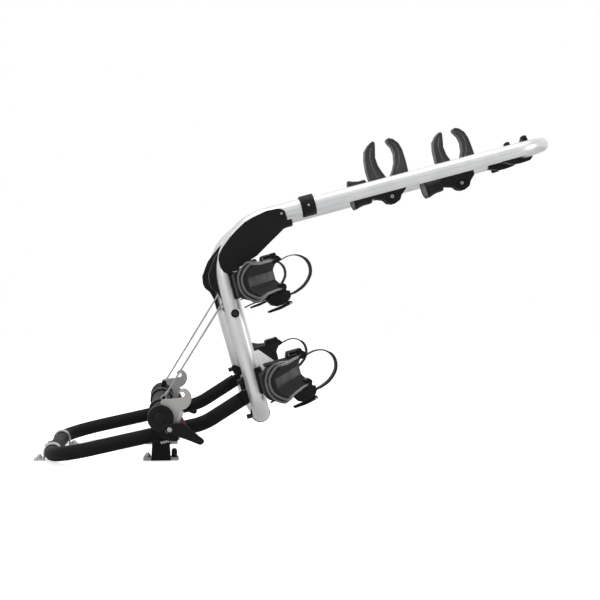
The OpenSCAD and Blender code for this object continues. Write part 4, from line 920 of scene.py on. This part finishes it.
# Buckle block: a deep body with a notch where the strap's end comes in, and its raised panel
block_line = rounded_outline(
    [(60, -28), (58, -38), (65.6, -45), (74, -58), (84, -62.4), (97, -61.6), (107, -58.6), (115, -51),
     (116.4, -39), (113, -36.4), (109.4, -37), (113, -25), (108, -20), (96, -20)],
    [2, 2.4, 2, 3, 3, 4, 3, 3, 1.6, 1, 1.6, 3, 3, 3], 3,
)
panel_line = rounded_outline(
    [(69, -41), (77, -54.6), (85, -58.6), (97, -58), (107, -54), (108, -42), (86, -33)], 2, 3,
)
PANEL_LEVELS = [
    (width, ANCHOR_FACE + above) for width, above in ((0, -3), (0, -0.8), (0.8, 0), (2.6, 0), (3.4, -1.2))
]
# Three teeth where the strap's end goes in
buckle_teeth = [
    rounded_outline([(113.5, z), (117.6, z + 0.6), (117.6, z + 2.2), (113.5, z + 2.8)], 0.5, 2)
    for z in (-49, -44.8, -40.6)
]
tail_line = upright([(72, -41), (60, -42.6), (44, -43.8), (32, -45.4), (21, -47.8)], STRAP_Y)
# Buckle lever: a crescent that hugs the block and runs back under the holder
crescent = soft_outline(
    [(116, -61), (113, -58.4), (108, -59.4), (103, -61.6), (94, -63.6), (84, -64.8), (75, -65.8),
     (66, -67.2), (63.6, -69), (66, -70.8), (76, -70.4), (88, -69.8), (100, -67.6), (109, -65.6),
     (114.6, -64.4)],
    3,
)
LEVER_LEVELS = ((0.8, 263), (0, 263.8), (0, 287.2), (0.8, 288))
BUCKLE_PIVOT = (112, 0, -63)
for row, centre in RAILS.items():
    for side, far in SIDES:
        place = OPEN @ shift(0, 0, centre)
        name = row + "_" + side
        cad, strap = "holder_" + name, "strap_" + name
        body, lever_body = cad + "_set", "buckle_" + name + "_lever"

        piece("wheel_holder_" + name, cad, coarse_nylon, body, holder_shell(), place, far, 0.6, sharp=34)

        # Double band round the nose, polished, in the lighter grey nylon that paints its highlight; the inner
        # one runs on along the lips
        bands = joined(
            along(inner_band, round_section(2.6, 14, 2.1), first_side=UP),
            along(outer_band, round_section(2.3, 14, 2.2), first_side=UP),
        )
        piece("nose_bands_" + name, cad, painted_highlight_nylon, body, bands, place, far)

        # The trough's flat floor is smoother than its walls
        floor_line = [Vector((lip_at(t) - LIP_RISE, t - NOSE_Y, 0)) for t in (7, 60, 120, 179)]
        strip_section = rounded_outline([(-9.2, -0.5), (9.2, -0.5), (9.2, 0.5), (-9.2, 0.5)], 0.4, 2)
        strip = along(floor_line, strip_section, first_side=UP)
        piece("trough_floor_" + name, cad, nylon, body, strip, place, far, sharp=50)

        anchor = joined(
            plate(anchor_box, ANCHOR_Y + 0.4, ANCHOR_FACE - 5),
            framed(window_rim, window_hole, ANCHOR_FACE - 5.4, ANCHOR_FACE),
            plate(ratchet_line, ANCHOR_Y + 6, ANCHOR_FACE + 2.2),
            plate(anchor_claw, ANCHOR_Y + 5, ANCHOR_FACE - 4),
        )
        piece("strap_anchor_" + name, cad, nylon, body, anchor, place, far, 0.9, 3)
        # A bead round the window, in the lighter grey nylon that paints the highlight on the frame's outline
        bead = along(smooth_path(upright(bead_line, ANCHOR_FACE), 1), round_section(1.3, 8))
        piece("anchor_bead_" + name, cad, painted_highlight_nylon, body, bead, place, far)

        block = joined(
            plate(block_line, ANCHOR_Y + 0.6, ANCHOR_FACE - 2), stepped(panel_line, PANEL_LEVELS),
            *(plate(line, ANCHOR_Y + 5, ANCHOR_FACE - 8) for line in buckle_teeth),
        )
        piece("buckle_block_" + name, cad, nylon, body, block, place, far, 0.8, 3)

        band, spots, turns = strap_band()
        piece(strap, strap, strap_nylon, body, band, place, far, sharp=50)
        tooth = plate([(-0.95, 0), (0.95, 0), (0.3, 1.2), (-0.3, 1.2)], -8.5, 8.5)
        repeated("strap_teeth_" + name, strap, strap_nylon, body, tooth, spots, place, far, turns)

        # The strap's loose end lies under the holder toward the nose
        tail_section = rounded_outline([(-9, -1), (9, -1), (9, 1), (-9, 1)], 0.8, 2)
        tail = along(smooth_path(tail_line, 5), tail_section, first_side=(0, 1, 0))
        piece("strap_tail_" + name, cad, strap_nylon, body, tail, place, far, sharp=50)

        lever = stepped(crescent, LEVER_LEVELS)
        piece("buckle_lever_" + name, "buckle_" + name, nylon, lever_body, lever, place, far, sharp=50)
        pin = turned([(0, 261.4), (2.2, 261.4), (2.2, 289.4), (0, 289.4)], BUCKLE_PIVOT, NEARWARD, 24)
        piece("buckle_pin_" + name, "buckle_" + name, zinc, lever_body, pin, place, far)

# Bike arms: each one's number, distance off the centre plane, droop in degrees, and length

ARMS = (("1", 0, 0, 319), ("2", 133, 4, 126))
CLAW_H, CLAW_HALF, PIVOT_DROP = 131, 15, 21
CLAMP_HALF, ARM_R = 13.8, 10
# Half widths in the claw: the slot between the cheeks, the tongue in it, the web, and the ribs' middles
SLOT_HALF, TONGUE_HALF, WEB_HALF, RIB_Y = 7.6, 6.9, 8, 13.6
# The knob's inner end, and its radius between the lobes and what a lobe adds to that
KNOB_X, KNOB_R, LOBE = -47, 26, 12


def claw_points(shares):
    """Points given as shares of the claw's height."""
    return [(x * CLAW_H, z * CLAW_H) for x, z in shares]


finger_line = rounded_outline(claw_points([
    (-0.28, 0.29), (-0.30, 0.35), (-0.31, 0.53), (-0.29, 0.72), (-0.25, 0.86), (-0.17, 0.945),
    (-0.08, 1.00), (-0.05, 0.96), (-0.07, 0.87), (-0.11, 0.71), (-0.10, 0.57), (-0.06, 0.45), (-0.02, 0.36),
    (0.01, 0.29),
]), 5)
thumb_line = rounded_outline(claw_points([
    (0.07, 0.27), (0.07, 0.33), (0.15, 0.44), (0.21, 0.56), (0.235, 0.70), (0.22, 0.81), (0.17, 0.90),
    (0.155, 0.95), (0.19, 0.985), (0.27, 0.945), (0.345, 0.855), (0.38, 0.73), (0.39, 0.53), (0.385, 0.35),
    (0.27, 0.20), (0.10, 0.16),
]), 5)
tongue_line = rounded_outline(claw_points([
    (-0.06, -0.06), (-0.16, 0.06), (-0.26, 0.26), (-0.28, 0.295), (0.00, 0.295), (0.03, 0.15),
    (0.06, -0.06),
]), 2, 3)
thumb_rib = [(0.175, 0.40), (0.262, 0.52), (0.295, 0.66), (0.29, 0.78), (0.25, 0.87)]
finger_rib = [(-0.165, 0.37), (-0.20, 0.52), (-0.205, 0.68), (-0.18, 0.80), (-0.135, 0.89)]
# Each finger's side has a raised border and a sunk panel: how far in, and how far off the claw's middle
FINGER_STEPS = (
    (4.4, -13.8), (3.6, -15), (0.9, -15), (0, -14.1), (0, 14.1), (0.9, 15), (3.6, 15), (4.4, 13.8),
)
clamp_line = rounded_outline(
    [(-48, -12.6), (-30, -21.6), (-8, -23.4), (8, -22.6), (16, -17), (19.4, -4), (19.4, 6), (17, 16),
     (15, 24), (13.4, 34.6), (8, 35.4), (3.6, 26), (-4, 21.4), (-14, 20), (-30, 16), (-48, 12.6)],
    [3, 8, 8, 6, 6, 6, 6, 4, 3, 3, 3, 5, 6, 8, 8, 3],
)
cheek_line = rounded_outline(
    [(-43.6, 7), (-43.6, 36), (36, 36), (36, 10), (22, -2), (16, -12), (0, -18), (-13, -13), (-20, -3),
     (-34, 2)],
    [5, 4, 3, 7, 8, 8, 12, 8, 9, 10],
)


def finger_ribs(shares):
    """A long raised rib in the sunk panel on each side of a finger."""
    line = smooth_path([(x, 0, z) for x, z in claw_points(shares)], 5)
    return joined(*(
        along([p + Vector((0, y, 0)) for p in line], round_section(1.5, 10)) for y in (-RIB_Y, RIB_Y)
    ))


def lobed(levels):
    """A three-lobed turned body on the knob's axis: (distance along it, scale) of each ring."""
    radii = [(a, KNOB_R + LOBE * (0.5 + 0.5 * math.cos(3 * a)) ** 0.7) for a in around(72)]
    return lofted([
        [(KNOB_X - h, r * size * math.sin(a), PIVOT_DROP + r * size * math.cos(a)) for a, r in radii]
        for h, size in levels
    ])


for number, y, droop, length in ARMS:
    arm_place = OPEN @ shift(HOOP_TIP, y, LEG_TOP) @ Matrix.Rotation(-math.radians(droop), 4, "Y")
    place = arm_place @ shift(-length, 0, -PIVOT_DROP)
    body, finger_body, knob_body = ("%s_%s_set" % (part, number) for part in ("arm", "finger", "knob"))
    claw_node, finger_node, knob_node = (part + number for part in ("claw_", "finger_", "knob_"))

    # Clamp about the hoop's end tube: two shells with a screw lug on top and a socket for the arm
    knuckle = turned([(0, -5), (6, -5), (6, 5), (5.2, 5.8), (0, 5.8)], (10.6, 0, 30), NEARWARD, 28)
    socket = turned(
        [(10.4, 0), (13, 0), (13.6, 1), (13.6, 6), (12.6, 7.5), (12.6, 20), (10.4, 20)],
        (-52, 0, 0), (1, 0, 0), 36,
    )
    clamp = joined(plate(clamp_line, -CLAMP_HALF, CLAMP_HALF), knuckle, socket)
    clamp_node = "arm_clamp_" + number
    piece(clamp_node + "_shells", clamp_node, painted_casting, body, clamp, arm_place, False, 2, 3)
    arm = along([Vector((x, 0, 0)) for x in (-30, 12 - length)], round_section(ARM_R, 36))
    piece("arm_tube_" + number, "arm_" + number, anodised, body, arm, arm_place)

    # Claw: the fixed finger with the web and wall behind it, and the cheeks with a ringed disc each
    frame_parts = joined(
        stepped(thumb_line, FINGER_STEPS),
        plate(rounded_outline([(10, 12), (10, 35), (35, 35), (35, 9)], 3, 3), -WEB_HALF, WEB_HALF),
        plate(
            rounded_outline([(-43.6, 10), (-43.6, 34), (-38.4, 34), (-38.4, 10)], 1, 2), -WEB_HALF, WEB_HALF,
        ),
    )
    piece("claw_%s_frame" % number, claw_node, grey_nylon, body, frame_parts, place, False, 1, 3)
    discs = [
        turned([(0, SLOT_HALF), (13.4, SLOT_HALF), (13.4, 15), (12.6, 16), (10.6, 16), (10, 15), (6.8, 15),
                (6.2, 15.8), (4.6, 15.8), (0, 15.8)], ORIGIN, (0, s, 0), 44) for s in (-1, 1)
    ]
    cheeks = joined(
        plate(cheek_line, 0.6 - CLAW_HALF, -SLOT_HALF), plate(cheek_line, SLOT_HALF, CLAW_HALF - 0.6), *discs,
    )
    piece("claw_%s_cheeks" % number, claw_node, nylon, body, cheeks, place, False, 1, 3)
    # The rib is in the lighter grey nylon, which paints the highlight line along the finger's side
    piece("claw_%s_rib" % number, claw_node, painted_highlight_nylon, body, finger_ribs(thumb_rib), place)

    # Moving finger with its tongue and its pivot screw
    mover = joined(stepped(finger_line, FINGER_STEPS), plate(tongue_line, -TONGUE_HALF, TONGUE_HALF))
    piece("moving_finger_" + number, finger_node, grey_nylon, finger_body, mover, place, False, 1, 3)
    # These ribs are in the lighter grey nylon too, as painted highlight lines along the finger's sides
    ribs = finger_ribs(finger_rib)
    piece("moving_finger_%s_rib" % number, finger_node, painted_highlight_nylon, finger_body, ribs, place)
    screw = turned(
        [(0, -16), (3.8, -16), (3.8, 15.9), (3.6, 16.5), (2.3, 16.6), (1.9, 16), (1.9, 14.6), (0, 14.6)],
        ORIGIN, NEARWARD, 28,
    )
    piece("pivot_screw_" + number, finger_node, zinc, finger_body, screw, place)

    # Three-lobed knob that flares to its outer end, with a sunk face and its threaded rod
    grip = lobed((
        (0, 0.76), (1.4, 0.82), (5, 0.84), (16, 0.83), (28, 0.9), (36, 0.98), (38.6, 1.0), (40.8, 0.97),
        (42, 0.9), (42, 0.8), (40.2, 0.76),
    ))
    piece("knob_%s_grip" % number, knob_node, nylon, knob_body, grip, place, sharp=50)
    face = lobed(((40.0, 0.78), (41.2, 0.77), (41.5, 0.7), (41.1, 0.3)))
    piece("knob_%s_face" % number, knob_node, grey_nylon, knob_body, face, place, sharp=50)
    rod = turned([(0, 0), (3.9, 0), (3.9, 18), (0, 18)], (KNOB_X - 1.5, 0, PIVOT_DROP), (1, 0, 0), 24)
    piece("knob_%s_rod" % number, knob_node, zinc, knob_body, rod, place)

# Clip on the hoop's far corner: a split ring with its screw lugs
tip_corner = Vector((HOOP_TIP, HOOP_TIP_HALF, LEG_TOP))
toward_neck = (Vector((HOOP_NECK, LEG_HALF, LEG_TOP)) - tip_corner).normalized()
inward = (Vector(NEARWARD) + toward_neck).normalized()
half_turn = math.pi / 2 - inward.angle(Vector(NEARWARD))
clip_place = (
    OPEN @ Matrix.Translation(tip_corner + inward * TIP_CORNER_R * (1 / math.cos(half_turn) - 1))
    @ Matrix.Rotation(math.atan2(inward.y, inward.x), 4, "Z")
)
lugs = [plate(rounded_outline([(-5, 17 * s), (-4, 25 * s), (4, 25 * s), (5, 17 * s)], 2.4, 3), -7.8, 7.8)
        for s in (1, -1)]
clip = joined(ring_along_y(ORIGIN, 15.4, 18.4, 19, 8, 7.2, 44), *lugs)
piece("corner_clip_ring", "corner_clip", nylon, "tilt_frame", clip, clip_place, bevel=1)

# Clamp plates under the base legs: zinc, with a row of teeth
slope = math.atan2(KNEE.z - BASE_LOW, KNEE.x - BASE_FRONT)
over_feet = BASE_LOW - BASE_FRONT * math.tan(slope)
leg_place = shift(0, -BASE_HALF, over_feet) @ Matrix.Rotation(-slope, 4, "Y")
STRIP_LOW, STRIP_TOP, STRIP_HALF, CLAMP_PITCH = -17.4, -15.4, 14.8, 4.44
for side, far in SIDES:
    strip_outline = [(-4.4, STRIP_LOW), (35.6, STRIP_LOW), (35.6, STRIP_TOP), (-4.4, STRIP_TOP)]
    strip = plate(strip_outline, -STRIP_HALF, STRIP_HALF)
    piece("clamp_strip_" + side, "clamp_plates", zinc, "base", strip, leg_place, far, 0.3)
    tooth = plate([(-2.1, 0), (2.1, 0), (1.1, -3.4), (-0.2, -3.6)], -14.6, 14.6)
    spots = [(-2.2 + CLAMP_PITCH * k, 0, STRIP_LOW) for k in range(9)]
    repeated("clamp_teeth_" + side, "clamp_plates", zinc, "base", tooth, spots, leg_place, far)

# Camera, floor and light, in metres

# Focal length in the photograph's pixels, from matching the camera to it
PHOTO_PX, FOCAL_PX, SENSOR = 600, 1261, 36
CAMERA_AT, FLOOR_HALF = (0.015, -2.8, 0.3622), 6
yaw, pitch = math.radians(5.9756), math.radians(0.5907)
right = Vector((math.cos(yaw), -math.sin(yaw), 0))
ahead = Vector((math.sin(yaw) * math.cos(pitch), math.cos(yaw) * math.cos(pitch), -math.sin(pitch)))
up = right.cross(ahead)
lens = bpy.data.cameras.new("camera")
lens.sensor_width = SENSOR
lens.lens = SENSOR * FOCAL_PX / PHOTO_PX
lens.clip_end = 50
camera = bpy.data.objects.new("camera", lens)
camera.matrix_world = shift(*CAMERA_AT) @ Matrix((right, up, -ahead)).transposed().to_4x4()
bpy.context.collection.objects.link(camera)
scene = bpy.context.scene
scene.camera = camera


def fed(tree, made, first, *parts):
    """Links parts to a node's sockets from number first on, and gives its output."""
    for k, part in enumerate(parts, first):
        tree.links.new(part, made.inputs[k])
    return made.outputs[0]


floor_mesh = bpy.data.meshes.new("floor")
floor_corners = [(x * FLOOR_HALF, y * FLOOR_HALF, 0) for x, y in ((-1, -1), (1, -1), (1, 1), (-1, 1))]
floor_mesh.from_pydata(floor_corners, [], [(0, 1, 2, 3)])
floor = bpy.data.objects.new("floor", floor_mesh)
floor.location.z = -0.001
bpy.context.collection.objects.link(floor)
pale, tree, shader = new_finish("pale studio floor", "#f4f4f4", Roughness=0.9)
floor_mesh.materials.append(pale)
# Seen straight on, the floor is lit up to paper white except where the object shades it
path = node(tree, "ShaderNodeLightPath")
plain = shader.outputs[0]
glow = node(tree, "ShaderNodeEmission", {"Color": (1, 1, 1, 1), "Strength": 0.66}).outputs[0]
lit = fed(tree, node(tree, "ShaderNodeAddShader"), 0, plain, glow)
pick = fed(tree, node(tree, "ShaderNodeMixShader", {"Fac": path.outputs["Is Camera Ray"]}), 1, plain, lit)
tree.links.new(pick, tree.nodes["Material Output"].inputs["Surface"])

# The world is white to the camera, in glass and in reflections, and lights the object with about half of that
world = bpy.data.worlds.new("white studio")
scene.world = world
world.use_nodes = True
tree = world.node_tree
path = node(tree, "ShaderNodeLightPath")
plain, white = (
    node(tree, "ShaderNodeBackground", {"Color": (1, 1, 1, 1), "Strength": strength}).outputs[0]
    for strength in (0.52, 1.0)
)
shown = path.outputs["Is Camera Ray"]
for ray in ("Is Transmission Ray", "Is Glossy Ray"):
    shown = fed(tree, node(tree, "ShaderNodeMath", operation="MAXIMUM"), 0, shown, path.outputs[ray])
mixed = fed(tree, node(tree, "ShaderNodeMixShader", {"Fac": shown}), 1, plain, white)
tree.links.new(mixed, tree.nodes["World Output"].inputs["Surface"])


def softbox(name, spot, aim, width, height, power):
    """A rectangular area light at spot, facing aim."""
    light = bpy.data.lights.new(name, "AREA")
    light.shape = "RECTANGLE"
    light.size, light.size_y, light.energy = width, height, power
    made = bpy.data.objects.new(name, light)
    away = (Vector(spot) - Vector(aim)).normalized()
    made.matrix_world = Matrix.Translation(spot) @ away.to_track_quat("Z", "Y").to_matrix().to_4x4()
    bpy.context.collection.objects.link(made)


target = (0.3, 0, 0.35)
softbox("overhead", (0.3, -0.4, 2.6), target, 2.6, 1.8, 30)
softbox("front left", (-1.8, -2.2, 1.4), target, 1.0, 1.8, 16)
softbox("right", (2.4, -1.2, 0.9), target, 0.7, 1.6, 10)

scene.view_settings.view_transform = "Standard"
